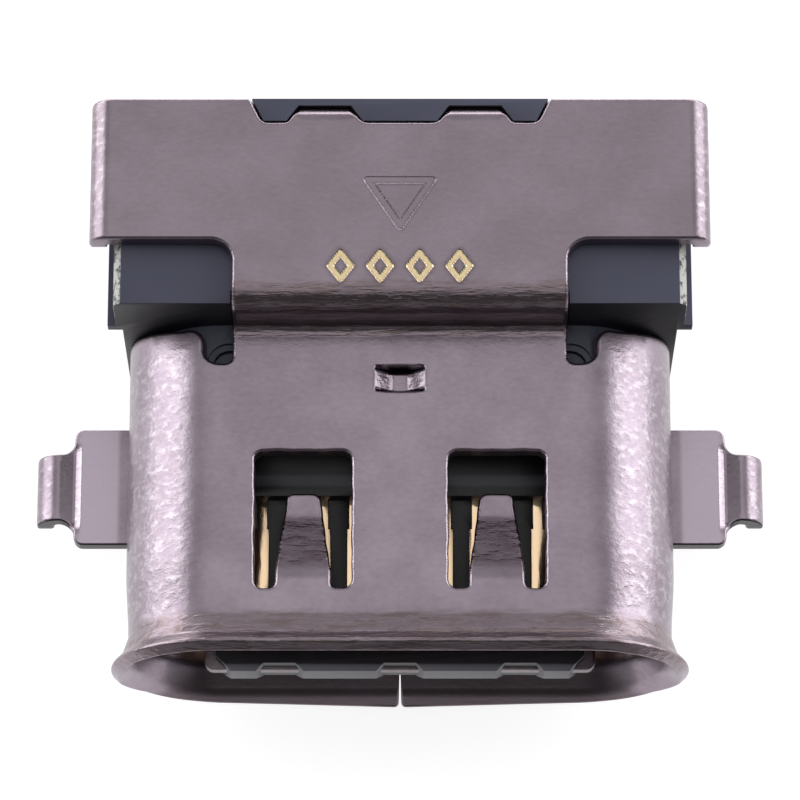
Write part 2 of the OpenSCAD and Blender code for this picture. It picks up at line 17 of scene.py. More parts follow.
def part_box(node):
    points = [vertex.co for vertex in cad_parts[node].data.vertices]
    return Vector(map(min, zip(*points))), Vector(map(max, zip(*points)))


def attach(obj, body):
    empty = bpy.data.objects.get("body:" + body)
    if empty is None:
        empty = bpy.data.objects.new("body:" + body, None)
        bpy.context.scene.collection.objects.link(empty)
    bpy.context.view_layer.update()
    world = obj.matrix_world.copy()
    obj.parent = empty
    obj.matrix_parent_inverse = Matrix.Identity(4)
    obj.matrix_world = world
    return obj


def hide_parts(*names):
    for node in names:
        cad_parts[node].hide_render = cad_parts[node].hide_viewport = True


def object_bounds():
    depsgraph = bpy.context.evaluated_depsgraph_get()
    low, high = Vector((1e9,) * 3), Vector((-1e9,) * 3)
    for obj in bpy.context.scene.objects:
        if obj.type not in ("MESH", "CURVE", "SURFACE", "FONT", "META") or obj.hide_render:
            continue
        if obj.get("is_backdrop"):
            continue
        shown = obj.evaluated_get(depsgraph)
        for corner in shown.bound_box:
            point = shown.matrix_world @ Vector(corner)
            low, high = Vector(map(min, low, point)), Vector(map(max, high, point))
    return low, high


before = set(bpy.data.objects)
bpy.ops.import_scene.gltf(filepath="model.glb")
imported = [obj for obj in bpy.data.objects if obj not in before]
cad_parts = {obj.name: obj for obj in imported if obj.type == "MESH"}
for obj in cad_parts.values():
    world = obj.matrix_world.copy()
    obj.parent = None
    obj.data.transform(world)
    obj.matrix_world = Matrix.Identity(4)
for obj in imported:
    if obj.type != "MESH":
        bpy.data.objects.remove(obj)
cad_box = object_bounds()
MM = 0.001
print("nodes:", len(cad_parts))

# %% [markdown]
# ## Camera
# A small part could be shot from near by, but then its far end would shrink. A long lens from far away keeps
# its edges almost parallel. The camera looks down steeply at a point near the part's middle.

# %% Camera
scene = bpy.context.scene
scene.view_settings.view_transform = "Standard"

CAMERA_TARGET = Vector((0, 4.82, 0)) * MM
CAMERA_ELEVATION = math.radians(70.5)
CAMERA_DISTANCE = 80 * MM
CAMERA_LENS = 217.5
CAMERA_NEAR = 5 * MM

camera = bpy.data.objects.new("camera", bpy.data.cameras.new("camera"))
camera.data.lens = CAMERA_LENS
camera.data.clip_start = CAMERA_NEAR
toward_camera = Vector((0, -math.cos(CAMERA_ELEVATION), math.sin(CAMERA_ELEVATION)))
camera.location = CAMERA_TARGET + toward_camera * CAMERA_DISTANCE
camera.rotation_euler = toward_camera.to_track_quat("Z", "Y").to_euler()
scene.collection.objects.link(camera)
scene.camera = camera
print("camera looks down at", round(math.degrees(CAMERA_ELEVATION), 1), "degrees")

# %% [markdown]
# ## A path that runs straight and bends
# Sheet metal never turns a sharp corner: it runs straight, then round a radius. Curves could be fitted to
# that. A small class is exact, and gives the place and the outward direction at any distance along the
# tube's section, the flare, the spring fingers, the step and the legs.

# %% A bent path
class Path:
    """A line in a plane. Each step is (length, turn in degrees), and a turn to the left is positive."""

    def __init__(self, start, heading, *steps):
        self.runs = []
        place, angle, length = np.array(start, float), math.radians(heading), 0.0
        for run, turn in steps:
            curve = math.radians(turn) / run
            self.runs.append((length, place, angle, curve))
            place = place + self.advance(angle, curve, np.array(run))
            angle, length = angle + curve * run, length + run
        self.length = length

    @staticmethod
    def advance(angle, curve, run):
        if abs(curve) < 1e-9:
            return np.stack([run * math.cos(angle), run * math.sin(angle)], -1)
        turned = angle + curve * run
        return np.stack([np.sin(turned) - math.sin(angle), math.cos(angle) - np.cos(turned)], -1) / curve

    def at(self, distance):
        """Places, and unit vectors that point to the left of the path."""
        starts = np.array([run[0] for run in self.runs])
        which = np.clip(np.searchsorted(starts, distance, side="right") - 1, 0, len(starts) - 1)
        place, left = np.zeros(distance.shape + (2,)), np.zeros(distance.shape + (2,))
        for i, (start, corner, angle, curve) in enumerate(self.runs):
            here = which == i
            run = distance[here] - start
            place[here] = corner + self.advance(angle, curve, run)
            turned = angle + curve * run
            left[here] = np.stack([-np.sin(turned), np.cos(turned)], -1)
        return place, left


def arc(radius, turn):
    """A step for a bend with the given radius at the middle of the sheet."""
    return (radius * math.radians(abs(turn)), turn)


BEYOND = (9, 0)  # a last straight run, longer than any piece of the sheet
print("a quarter bend with a radius of 1 mm is", round(arc(1, 90)[0], 3), "mm long")

# %% [markdown]
# ## The shell's paths
# All sizes are in millimetres, and some come from the packed shell's box, so that both shells agree. The
# paths could run along one of the sheet's faces. They run along its middle instead, whose length a bend
# keeps.

# %% Sizes of the sheet and the tube
SHEET = 0.30
HALF = SHEET / 2
END_X, MID_R = 2.89, 1.43  # the middle of a round end, and its radius
TUBE_L, SIDE_REAR = 5.52, 5.67  # where the tube ends above, and at its sides
SEAM_HALF, SEAM_LIP_HALF = 0.006, 0.024
shell_low, shell_high = (np.array(c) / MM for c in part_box("shell"))
LEG_END_X, REAR, COVER_TOP = shell_high
print("shell box:", shell_low.round(2), shell_high.round(2))

# %% [markdown]
# ## Across the tube
# The tube is an oval, flat above and below with half a circle at each end, and its seam is underneath. It
# could be a bevelled curve. It is a path, because windows, gaps and legs are placed by their distance along
# it. Each leg is bent out of the side wall, so its own path starts on the section.

# %% Across the tube
section = Path((0, MID_R), 0, (END_X, 0), arc(MID_R, -180), (END_X, 0))
SEAM_S = section.length

LEG_TOP, LEG_ROOT_R, LEG_BEND_R = -1.03, 0.25, 0.25
ROOT_CLIMB = 0.0373  # what a leg rises in the bend at its root
GAP_TOP_Z, LEG_TIP_GAP = 0.10, 0.12
leg_mid_z = LEG_TOP - HALF
root_phi = math.acos((leg_mid_z - ROOT_CLIMB) / MID_R)
root_turn = 180 - math.degrees(root_phi)
root_bend = LEG_ROOT_R * math.radians(root_turn)
wall_root = (END_X + MID_R * math.sin(root_phi), MID_R * math.cos(root_phi))
flat_x = wall_root[0] + LEG_ROOT_R * math.sin(math.radians(root_turn))
leg_flat = LEG_END_X - HALF - LEG_BEND_R - flat_x
leg_path = Path(wall_root, root_turn, (root_bend, -root_turn), (leg_flat, 0),
                arc(LEG_BEND_R, -90), (leg_mid_z - LEG_BEND_R + MID_R + HALF, 0))
LEG_L = leg_path.length
print("a leg is", round(LEG_L, 2), "mm long from its root")

# %% From the tube to the blank
# A leg is longer than the gap it was bent out of, because a real tube is drawn. The blank is wider there.
GAP_TOP = END_X + MID_R * math.acos(GAP_TOP_Z / MID_R)
ROOT = GAP_TOP + LEG_L + LEG_TIP_GAP
root_true = END_X + MID_R * root_phi
SEAM = ROOT + SEAM_S - root_true
STRETCH = ([0, GAP_TOP, ROOT, SEAM], [0, GAP_TOP, root_true, SEAM_S])


def blank_s(x=None, phi=None, below=False):
    """Where a place across the tube lies on the blank: by its x, or by its angle round the end."""
    true = END_X + MID_R * math.radians(phi) if phi is not None else SEAM_S - x if below else x
    return float(np.interp(true, STRETCH[1], STRETCH[0]))


print("half the blank is", round(SEAM, 2), "mm wide, for half a girth of", round(SEAM_S, 2))

# %% [markdown]
# ## Along the tube
# At the mouth, the tube opens into a flare that guides the plug, and behind it lies a very shallow waist.
# The profile could be lofted through rings. As a path, its bends keep a true radius, and the length of metal
# that the flare uses up is known.

# %% Along the tube: flare, waist and body
# The flare is pressed in two hits: a gentle one that starts at the crease, and a steep one at the rim.
CREASE_Y, GENTLE, STEEP = 0.63, 19, 44
CREASE_R, BAND_R = 0.12 + HALF, 0.16 + HALF
RIM_OUT = (0.15, 1.819)
WAIST_D, WAIST_SLOPE = 0.05, 3.69
WAIST_END, WAIST_BEND, WAIST_RISE = 0.75, 0.20, 0.576


def lean(degrees):
    return np.array((-math.cos(math.radians(degrees)), math.sin(math.radians(degrees))))


def trim(radius, turn):
    """How much a rounding takes off both runs that meet at a corner."""
    return radius * math.tan(math.radians(turn) / 2)


rim_mid = np.array(RIM_OUT) - HALF * np.array((math.sin(math.radians(STEEP)), math.cos(math.radians(STEEP))))
crease_mid = np.array((CREASE_Y, MID_R - WAIST_D))
# The corner between them is where the gentle line from the crease meets the steep one from the rim.
reach = np.linalg.solve(np.stack([lean(GENTLE), -lean(STEEP)], 1), rim_mid - crease_mid)
gentle_run, steep_run = reach[0], -reach[1]
bends = (trim(CREASE_R, GENTLE), trim(BAND_R, STEEP - GENTLE))
flare = [(steep_run - bends[1], 0), arc(BAND_R, STEEP - GENTLE), (gentle_run - sum(bends), 0),
         arc(CREASE_R, GENTLE)]
waist_at = CREASE_Y + bends[0]
along = Path((rim_mid[0], rim_mid[1] - MID_R), -STEEP, *flare, (WAIST_END - waist_at, 0),
             (WAIST_BEND, WAIST_SLOPE), (WAIST_RISE, 0), (WAIST_BEND, -WAIST_SLOPE), BEYOND)
BLANK_FRONT = waist_at - sum(run for run, turn in flare)
print("front of the blank:", round(BLANK_FRONT, 3), "runs:", np.round([gentle_run, steep_run], 3))

# %% [markdown]
# ## Fingers, step and cover
# Each spring finger dips into the mouth and grips the plug. At the back, a strip of the tube's top climbs a
# step and widens into a cover with its sides turned down. They could be separate pieces, but paths for the
# same blank leave no joint, as on the real sheet.

# %% A spring finger
WINDOW_X, WINDOW_W, WINDOW_FRONT, WINDOW_REAR = 1.56, 1.56, 1.105, 3.395
FINGER_TURN, FINGER_BEND_R = 20.3, 0.30
FINGER_Y, SLOPE_L, TIP_L = 1.27, 1.173, 0.45  # from corner to corner, before the bends are rounded
bend_run = FINGER_BEND_R * math.radians(FINGER_TURN)
finger_root = FINGER_Y - bend_run / 2
finger_slope = SLOPE_L - bend_run
finger_tip = TIP_L - bend_run / 2
FINGER_END = finger_root + 2 * bend_run + finger_slope + finger_tip
finger_start = along.at(np.array([finger_root - BLANK_FRONT]))[0][0]
finger_path = Path(finger_start, 0, (bend_run, -FINGER_TURN), (finger_slope, 0),
                   (bend_run, FINGER_TURN), BEYOND)
print("a finger's straight slope is", round(finger_slope, 2), "mm long")

# %% The step up to the cover, and the cover's side
FOLD_R = 0.05 + HALF
LOW_R, HIGH_R = 0.14, 0.12
STRIP_START = TUBE_L - LOW_R
CROWN_TOP = COVER_TOP - SHEET
wall = CROWN_TOP - HIGH_R - (MID_R + HALF + LOW_R)
step = Path((STRIP_START, MID_R), 0, arc(LOW_R + HALF, 90), (wall, 0), arc(HIGH_R + HALF, -90), BEYOND)
# On the blank, everything behind the step lies further back by the metal that the step uses up.
COVER_SHIFT = (HIGH_R + LOW_R + SHEET) * math.pi / 2 + wall + STRIP_START - (TUBE_L + SHEET + HIGH_R)
COVER_HALF, COVER_SIDE, COVER_Y = 5.05, 0.46, 6.68
COVER_FRONT, COVER_REAR = COVER_Y + COVER_SHIFT, REAR + COVER_SHIFT
COVER_FLAT = COVER_HALF - HALF - FOLD_R
cover_side = Path((0, 0), 0, (COVER_FLAT, 0), arc(FOLD_R, -90), (COVER_SIDE - HALF - FOLD_R, 0))
COVER_S = cover_side.length
CUT_HALF, CUT_L = 2.45, 0.42  # the cut-out in the rear edge, which leaves two tabs
TAB_X, TAB_HALF, TAB_L, TAB_SPREAD = 1.23, 0.41, 0.29, 0.20
DROOP, DROOP_L = 0.62, 0.17  # the slope of the tabs' ends, and its length
print("cover on the blank:", round(COVER_FRONT, 2), "to", round(COVER_REAR, 2), "half", round(COVER_S, 2))

# %% [markdown]
# ## Folding
# Each vertex of the blank knows where it lies on the flat sheet (s across, v along) and how far it is from
# the sheet's middle (w). The part of the sheet that it belongs to picks the path that it is folded along:
# tube, finger, leg, or the strip with its cover.

# %% The parts of the blank
TUBE, FINGER, LEG, COVER = range(4)
LEG_Y, LEG_HALF, LEG_NARROW, RELIEF = 3.65, 1.01, 0.58, 0.08
GROOVE_X, SHOULDER_OUT = 5.43, 0.96
leg_out = root_bend - flat_x  # added to an x, it gives the distance from the leg's root
GROOVE_AT = GROOVE_X + leg_out
SHOULDER = END_X + MID_R + HALF + SHOULDER_OUT + leg_out
# Parts meet where there is no metal, in the gaps beside them.
FINGER_REACH, FINGER_CLEAR = 0.6, 0.1
LEG_CLEAR, TIP_CLEAR = 0.1, 0.06
COVER_REACH, STRIP_REACH, NOTCH_END = 6, 2.75, 5.9


def finger_middles():
    return [WINDOW_X, blank_s(x=WINDOW_X, below=True)]


def part_of(s, v):
    part = np.full(s.shape, TUBE)
    side = np.abs(s)
    for middle in finger_middles():
        near = np.abs(side - middle) < FINGER_REACH
        part[near & (v > WINDOW_FRONT) & (v < WINDOW_REAR - FINGER_CLEAR)] = FINGER
    beside = np.abs(v - LEG_Y)
    part[(side > ROOT - SHOULDER - LEG_CLEAR) & (side < ROOT) & (beside < LEG_HALF + RELIEF / 2)] = LEG
    part[(side > GAP_TOP + TIP_CLEAR) & (side < ROOT) & (beside < LEG_NARROW + LEG_CLEAR)] = LEG
    part[(side < COVER_REACH) & (v > STRIP_START) & ((side < STRIP_REACH) | (v > NOTCH_END))] = COVER
    return part


print("groove and shoulder are", round(GROOVE_AT, 2), round(SHOULDER, 2), "mm from a leg's root")

# %% [markdown]
# ## The bridge
# A small bridge behind the windows is cut free on two sides and pressed in, to lock the tube to the plastic.
# It could be a bar in a hole. The sheet is pushed down between two slits instead, as a press does it, which
# keeps its thickness and its soft shoulders.

# %% The bridge
LANCE_HALF, LANCE_FLAT, LANCE_DIP = 0.43, 0.12, 0.23
LANCE_FRONT, LANCE_L = 4.46, 0.36
LANCE_EASE = (0.05, 0.03)  # how far its slope reaches into the flat and past the slits' ends
LANCE_CLEAR = (0.03, 0.05)  # how far the push reaches past it in front and behind


def smooth(lo, hi, x):
    """0 up to lo, 1 from hi on, and a soft rise between."""
    t = np.clip((x - lo) / (hi - lo), 0, 1)
    return t * t * (3 - 2 * t)


def lance(s, v):
    """How deep the bridge is pressed in."""
    inside = (v > LANCE_FRONT - LANCE_CLEAR[0]) & (v < LANCE_FRONT + LANCE_L + LANCE_CLEAR[1])
    slope = smooth(LANCE_FLAT - LANCE_EASE[0], LANCE_HALF + LANCE_EASE[1], np.abs(s))
    return LANCE_DIP * (1 - slope) * inside


print("the bridge is pressed in by", LANCE_DIP, "mm")

# %% [markdown]
# ## Stamped marks
# The cover has two plain marks, an arrow that points to the mouth and a row of four rings. A bump texture
# could imitate them. Real depth catches the light from every side, so the distance from each line lowers the
# sheet's outer face by up to two hundredths of a millimetre.

# %% Stamped marks
STAMP = 0.020
ARROW_Y, ARROW_HALF, ARROW_L, ARROW_LINE = 7.30, 0.52, 0.80, 0.060
RING_Y, RING_PITCH, RING_HALF_W, RING_HALF_L, RING_LINE = 6.21, 0.64, 0.17, 0.23, 0.045
RING_X = [(i - 1.5) * RING_PITCH for i in range(4)]


def off_line(x, y, a, b):
    """Distance of places from a straight line between two points."""
    run = (b[0] - a[0], b[1] - a[1])
    t = np.clip(((x - a[0]) * run[0] + (y - a[1]) * run[1]) / (run[0] ** 2 + run[1] ** 2), 0, 1)
    return np.hypot(x - a[0] - t * run[0], y - a[1] - t * run[1])


def stamp(x, y):
    """Depth of the stamped lines at places on the cover."""
    back = ARROW_Y + ARROW_L / 2
    side = off_line(np.abs(x), y, (ARROW_HALF, back), (0, ARROW_Y - ARROW_L / 2))
    bar = off_line(x, y, (-ARROW_HALF, back), (ARROW_HALF, back))
    depth = 1 - smooth(ARROW_LINE * 0.6, ARROW_LINE * 1.4, np.minimum(side, bar))
    for middle in RING_X:
        off = off_line(np.abs(x - middle), np.abs(y - RING_Y), (RING_HALF_W, 0), (0, RING_HALF_L))
        depth = np.maximum(depth, 1 - smooth(RING_LINE * 0.7, RING_LINE * 1.4, off))
    return STAMP * depth


print("rings at x", np.round(RING_X, 2), "and the marks are", STAMP, "mm deep")

# %% [markdown]
# ## One function that folds
# Modifiers could bend the sheet one after the other, but each stretches what the last one made. A function
# of the blank's coordinates is exact. Asked again a hair further on, it also gives the surface's slope, and
# so the normals for smooth shading.

# %% Fold the tube and its fingers
LIP_L, LIP_THIN = 0.55, 0.27  # the flare's metal gets thinner towards the rim


def fold_tube(s, v, w, part):
    across, out = section.at(np.interp(np.abs(s), *STRETCH))
    lip = np.clip((LIP_L - v) / LIP_L, 0, 1)
    w_here = HALF - (HALF - w) * np.where(part == TUBE, 1 - LIP_THIN * lip, 1)
    run, normal = along.at(v - BLANK_FRONT)
    y = run[:, 0] + w_here * normal[:, 0]
    rise = run[:, 1] + w_here * normal[:, 1] - lance(np.abs(s), v)
    m = (part == FINGER) & (v > finger_root)
    run, normal = finger_path.at(v[m] - finger_root)
    y[m] = run[:, 0] + w[m] * normal[:, 0]
    rise[m] = run[:, 1] + w[m] * normal[:, 1]
    return np.stack([across[:, 0] + out[:, 0] * rise, y, across[:, 1] + out[:, 1] * rise], 1)


print("the rim is", round(SHEET * (1 - LIP_THIN), 3), "mm thick")

# %% Fold a leg
GROOVE_D = 0.072  # a groove across the leg weakens it where it will be bent
GROOVE_SLOPES = (0.12, 0.25)  # its width towards the root and towards the end
GROOVE_FADE = (0.60, 0.85)


def fold_leg(s, v, w):
    up = ROOT - np.abs(s)
    run, normal = leg_path.at(up)
    groove = GROOVE_D * np.clip(1 - np.abs(up - GROOVE_AT) / np.where(up < GROOVE_AT, *GROOVE_SLOPES), 0, 1)
    groove = groove * (1 - smooth(*GROOVE_FADE, np.abs(v - LEG_Y)))
    run = run - groove[:, None] * normal
    # The tube's outer face becomes the leg's lower face.
    return np.stack([run[:, 0] - w * normal[:, 0], v, run[:, 1] - w * normal[:, 1]], 1)


print("a leg is", round(2 * LEG_HALF, 2), "mm wide, and", round(2 * LEG_NARROW, 2), "at its end")

# %% Fold the strip and the cover, and put the parts together
def fold_cover(s, v, w):
    side = np.abs(s)
    run, normal = step.at(v - STRIP_START)
    bent, left = cover_side.at(side)
    w = w - np.where(w > 0, stamp(s, v - COVER_SHIFT), 0)
    # The tabs' ends were dragged down a little by the punch.
    on_tab = np.abs(side - TAB_X) < TAB_HALF + TAB_SPREAD
    droop = DROOP * np.clip(v - (COVER_REAR - CUT_L + TAB_L - DROOP_L), 0, 1) * on_tab
    x = bent[:, 0] + left[:, 0] * w * np.abs(normal[:, 1])
    z = run[:, 1] + bent[:, 1] + left[:, 1] * w * normal[:, 1] - droop
    return np.stack([x, run[:, 0] + w * normal[:, 0], z], 1)


def fold(s, v, w, part):
    """Places in space for all vertices of the blank."""
    place = np.zeros((len(s), 3))
    m = (part == TUBE) | (part == FINGER)
    place[m] = fold_tube(s[m], v[m], w[m], part[m])
    m = part == LEG
    place[m] = fold_leg(s[m], v[m], w[m])
    m = part == COVER
    place[m] = fold_cover(s[m], v[m], w[m])
    place[:, 0] *= np.where(s < 0, -1.0, 1.0)
    return place


back = fold(np.zeros(1), np.array([COVER_REAR]), np.full(1, HALF), np.array([COVER]))
print("the blank's rear edge folds to", back.round(2))

# %% [markdown]
# ## Outlines
# A punched outline is a polygon with rounded corners, and so is a hole. They could be curves that are turned
# into a mesh. Here, their points are counted in Python, because each one gets its own rows of vertices.

# %% Outline helpers
LINE_STEP, ARC_STEP = 0.07, 0.035  # spacing of the vertices along straight runs and round corners
STRAIGHT = 1.55  # half of a corner's angle from which it isn't rounded
LEAST_R = 0.06  # a smaller corner gets as many vertices as one with this radius
WAVES, LONG_WAVES, WAVES_START = 9.7, 4.1, 1.3


def rounded(before, here, after, r):
    """The points that replace a corner."""
    before, after = before - here, after - here
    before, after = before / np.linalg.norm(before), after / np.linalg.norm(after)
    half = math.acos(np.clip(before @ after, -1, 1)) / 2
    if r == 0 or half > STRAIGHT:
        return [here]
    back = r / math.tan(half)
    middle = here + (before + after) / np.linalg.norm(before + after) * r / math.sin(half)
    a, b = here + before * back - middle, here + after * back - middle
    turn = math.atan2(a[0] * b[1] - a[1] * b[0], a @ b)
    count = max(3, int(abs(turn) * max(r, LEAST_R) / ARC_STEP))
    spins = [(math.cos(turn * k / count), math.sin(turn * k / count)) for k in range(count + 1)]
    return [middle + np.array((a[0] * c - a[1] * s, a[0] * s + a[1] * c)) for c, s in spins]


def outline(corners, wave=0.0):
    """Closed line through (s, v, radius) corners, rounded and split into short pieces."""
    places = [np.array(corner[:2]) for corner in corners]
    points = []
    for i, (_, _, r) in enumerate(corners):
        points += rounded(places[i - 1], places[i], places[(i + 1) % len(places)], r)
    line = []
    for p, q in zip(points, points[1:] + points[:1]):
        count = max(1, int(np.linalg.norm(q - p) / LINE_STEP))
        line += [p + (q - p) * k / count for k in range(count)]
    line = np.array(line)
    # A worn punch cuts a line that wavers a little.
    swapped = line[:, ::-1]
    return line + wave * np.sin(swapped * WAVES + WAVES_START) * np.sin(swapped * LONG_WAVES)


def mirrored(line):
    return (line * (-1, 1))[::-1]


def both_halves(corners):
    return corners + [(-s, v, r) for s, v, r in reversed(corners)]


print("a square with round corners has", len(outline(both_halves([(1, 0, .1), (1, 2, .1)]))), "points")

# %% [markdown]
# ## The blank
# Unrolled, the shell is one flat shape: a wide tube, a narrow strip behind it, and a cover with two tabs. It
# could be sketched as a curve. A list of corners with their radii is easier to adjust, and mirrored, it
# gives two halves that always match.

# %% The outline of the blank
STRIP_HALF, NOTCH_W, NOTCH_FRONT, NOTCH_R = 2.72, 0.46, 4.91, 0.26
SEAM_LIP_Y = 0.65
cut = COVER_REAR - CUT_L
right = [
    # The seam, from the rim back
    (SEAM - SEAM_LIP_HALF, BLANK_FRONT, 0.075), (SEAM - SEAM_HALF, SEAM_LIP_Y, 0),
    (SEAM - SEAM_HALF, TUBE_L, 0.075),
    # The tube's rear edge, which reaches further back at the side
    (blank_s(phi=153.5), TUBE_L, 0.5), (blank_s(phi=112.6), SIDE_REAR, 0.5),
    (blank_s(phi=67.4), SIDE_REAR, 0.5), (blank_s(phi=26.5), TUBE_L, 0.3),
    # The notch beside the strip
    (STRIP_HALF + NOTCH_W, TUBE_L, NOTCH_R * 0.9), (STRIP_HALF + NOTCH_W, NOTCH_FRONT, NOTCH_R),
    (STRIP_HALF, NOTCH_FRONT, NOTCH_R / 2), (STRIP_HALF, COVER_FRONT, 0.36),
    # The cover, with its turned-down side
    (COVER_S, COVER_FRONT, 0.08), (COVER_S, COVER_REAR, 0.20),
    # The cut-out and its tab
    (CUT_HALF, COVER_REAR, 0.08), (CUT_HALF - TAB_SPREAD, cut, 0.16),
    (TAB_X + TAB_HALF + TAB_SPREAD, cut, 0.12), (TAB_X + TAB_HALF, cut + TAB_L, 0.08),
    (TAB_X - TAB_HALF, cut + TAB_L, 0.08), (TAB_X - TAB_HALF - TAB_SPREAD, cut, 0.20),
]
blank_outline = outline(both_halves(right))
print("blank outline:", len(blank_outline), "points")

# %% The lower rim
# Rolling draws the lower rim back, more and more away from the seam, and only near the edge.
LIP_DRAW, DRAW_FROM, DRAW_EASE, DRAW_W, DRAW_L = 0.10, 100, 1.2, 3.3, 0.3
side = np.abs(blank_outline[:, 0])
low = np.clip((side - blank_s(phi=DRAW_FROM)) / DRAW_EASE, 0, 1)
from_seam = np.clip((SEAM - side) / DRAW_W, 0, 1)
at_rim = np.clip((BLANK_FRONT + DRAW_L - blank_outline[:, 1]) / DRAW_L, 0, 1)
drawn = LIP_DRAW * from_seam * low * at_rim
blank_outline[:, 1] += drawn
print("the lower rim is drawn back by up to", drawn.max().round(3), "mm")

# %% [markdown]
# ## Openings
# Two windows above and two below hold the fingers, each side has a gap that its leg was bent out of, and two
# slits free the bridge. Boolean cuts through the finished tube would leave ragged edges on a curve. Punched
# in the flat sheet, the openings bend along with it.

# %% Windows with their fingers, legs in their gaps, and slits
WINDOW_R, WINDOW_WAVE = 0.14, 0.008
FINGER_ROOT_HALF, FINGER_ROOT_R, FINGER_NECK, FINGER_NECK_R = 0.45, 0.08, 0.24, 0.3
FINGER_TIP_HALF, FINGER_TIP_R = 0.27, 0.13
GAP_BELOW = 0.03


def window(middle):
    """A window and its finger are one U-shaped hole. The finger stays joined to the front edge."""
    wide, front, neck = WINDOW_W / 2, WINDOW_FRONT, WINDOW_FRONT + FINGER_NECK
    half = [
        (wide, WINDOW_REAR, WINDOW_R), (wide, front, WINDOW_R), (FINGER_ROOT_HALF, front, FINGER_ROOT_R),
        (FINGER_ROOT_HALF, neck, FINGER_NECK_R), (FINGER_TIP_HALF, FINGER_END, FINGER_TIP_R),
    ]
    corners = both_halves(half)
    return outline([(middle + s, v, r) for s, v, r in corners[-2:] + corners[:-2]], wave=WINDOW_WAVE)


def leg_gap():
    """The hole round a leg, which points up the tube's side."""
    gap, base = LEG_HALF + RELIEF, ROOT + GAP_BELOW
    gap_side = [(base, gap, 0.035), (GAP_TOP, gap, 0.15)]
    leg_side = [
        (ROOT - LEG_L, LEG_NARROW, 0.08), (ROOT - SHOULDER, LEG_NARROW, 0.25),
        (ROOT - SHOULDER, LEG_HALF, 0.15), (base, LEG_HALF, 0.035),
    ]
    corners = [(s, LEG_Y - y, r) for s, y, r in gap_side]
    corners += [(s, LEG_Y + y, r) for s, y, r in reversed(gap_side)]
    corners += [(s, LEG_Y + y, r) for s, y, r in reversed(leg_side)]
    corners += [(s, LEG_Y - y, r) for s, y, r in leg_side]
    return outline(corners)


def slit(v, bulge):
    """A cut with pointed ends. Its middle bulges away from the bridge."""
    h = LANCE_HALF
    return outline([(-h, v, 0.004), (h, v, 0.004), (h * 0.55, v + bulge * 0.8, 0.3), (0, v + bulge, 0.5),
                    (-h * 0.55, v + bulge * 0.8, 0.3)])


SLIT_BULGE = 0.03
holes = [slit(LANCE_FRONT, -SLIT_BULGE), slit(LANCE_FRONT + LANCE_L, SLIT_BULGE)]
for hole in [window(m) for m in finger_middles()] + [leg_gap()]:
    holes += [hole, mirrored(hole)]
print("holes:", len(holes))

# %% [markdown]
# ## From outlines to a solid sheet
# A flat face could be one large polygon, but it has to bend. It is filled by a Delaunay triangulation with
# extra points inside, closer together where there is a bend, a stamped mark or the lip.

# %% Measures of outlines
def unit(rows):
    return rows / np.linalg.norm(rows, axis=1)[:, None]


def signed_area(line):
    s, v = line.T
    return 0.5 * np.sum(s * np.roll(v, -1) - np.roll(s, -1) * v)


def inward(line):
    """Directions into the sheet, long enough to move both neighbouring edges by 1."""
    after = unit(np.roll(line, -1, 0) - line)
    left = np.stack([-after[:, 1], after[:, 0]], 1)
    before = np.roll(left, 1, 0)
    return (left + before) / np.maximum(0.35, 1 + np.sum(left * before, 1))[:, None]


def inside(points, lines, batch=4000):
    """Whether a ray from each point crosses the lines an odd number of times."""
    count = np.zeros(len(points), int)
    for line in lines:
        a, b = line, np.roll(line, -1, 0)
        for k in range(0, len(points), batch):
            s, v = points[k:k + batch, :1], points[k:k + batch, 1:]
            crosses = (a[:, 1] > v) != (b[:, 1] > v)
            with np.errstate(divide="ignore", invalid="ignore"):
                at = (b[:, 0] - a[:, 0]) * (v - a[:, 1]) / (b[:, 1] - a[:, 1]) + a[:, 0]
            count[k:k + batch] += np.sum(crosses & (s < at), 1)
    return count % 2 == 1


print("blank without holes:", round(abs(signed_area(blank_outline)), 1), "mm2")

# %% Points inside the sheet
def field(boxes):
    """Grid points in boxes (s0, s1, v0, v1, step s, step v). A later box clears what lies under it."""
    points, gaps = np.zeros((0, 2)), np.zeros(0)
    for s0, s1, v0, v1, ds, dv in boxes:
        under = (points[:, 0] > s0 - ds / 2) & (points[:, 0] < s1 + ds / 2)
        under &= (points[:, 1] > v0 - dv / 2) & (points[:, 1] < v1 + dv / 2)
        points, gaps = points[~under], gaps[~under]
        s = np.linspace(s0, s1, max(2, round((s1 - s0) / ds) + 1))
        v = np.linspace(v0, v1, max(2, round((v1 - v0) / dv) + 1))
        grid = np.stack(np.meshgrid(s, v), -1).reshape(-1, 2)
        points = np.concatenate([points, grid])
        gaps = np.concatenate([gaps, np.full(len(grid), min(ds, dv))])
    return points, gaps


MARK_STEP = 0.028
arrow, rings = ARROW_Y + COVER_SHIFT, RING_Y + COVER_SHIFT
boxes = [
    # Tube, flare, strip with its step, cover
    (-SEAM, SEAM, 0.70, 5.60, 0.10, 0.12), (-SEAM, SEAM, BLANK_FRONT, 0.70, 0.10, 0.05),
    (-2.7, 2.7, STRIP_START - 0.04, 6.8, 0.12, 0.04), (-COVER_S, COVER_S, 6.85, COVER_REAR, 0.14, 0.14),
    # Arrow, rings, bridge
    (-ARROW_HALF - 0.1, ARROW_HALF + 0.1, arrow - 0.6, arrow + 0.6, MARK_STEP, MARK_STEP),
    (-1.35, 1.35, rings - 0.42, rings + 0.42, MARK_STEP, MARK_STEP),
    (-LANCE_HALF - 0.05, LANCE_HALF + 0.05, LANCE_FRONT, LANCE_FRONT + LANCE_L, 0.04, 0.05),
]
leg_v, leg_end = (LEG_Y - LEG_HALF, LEG_Y + LEG_HALF), ROOT - LEG_L
groove, knee = ROOT - GROOVE_AT, finger_root + bend_run + finger_slope
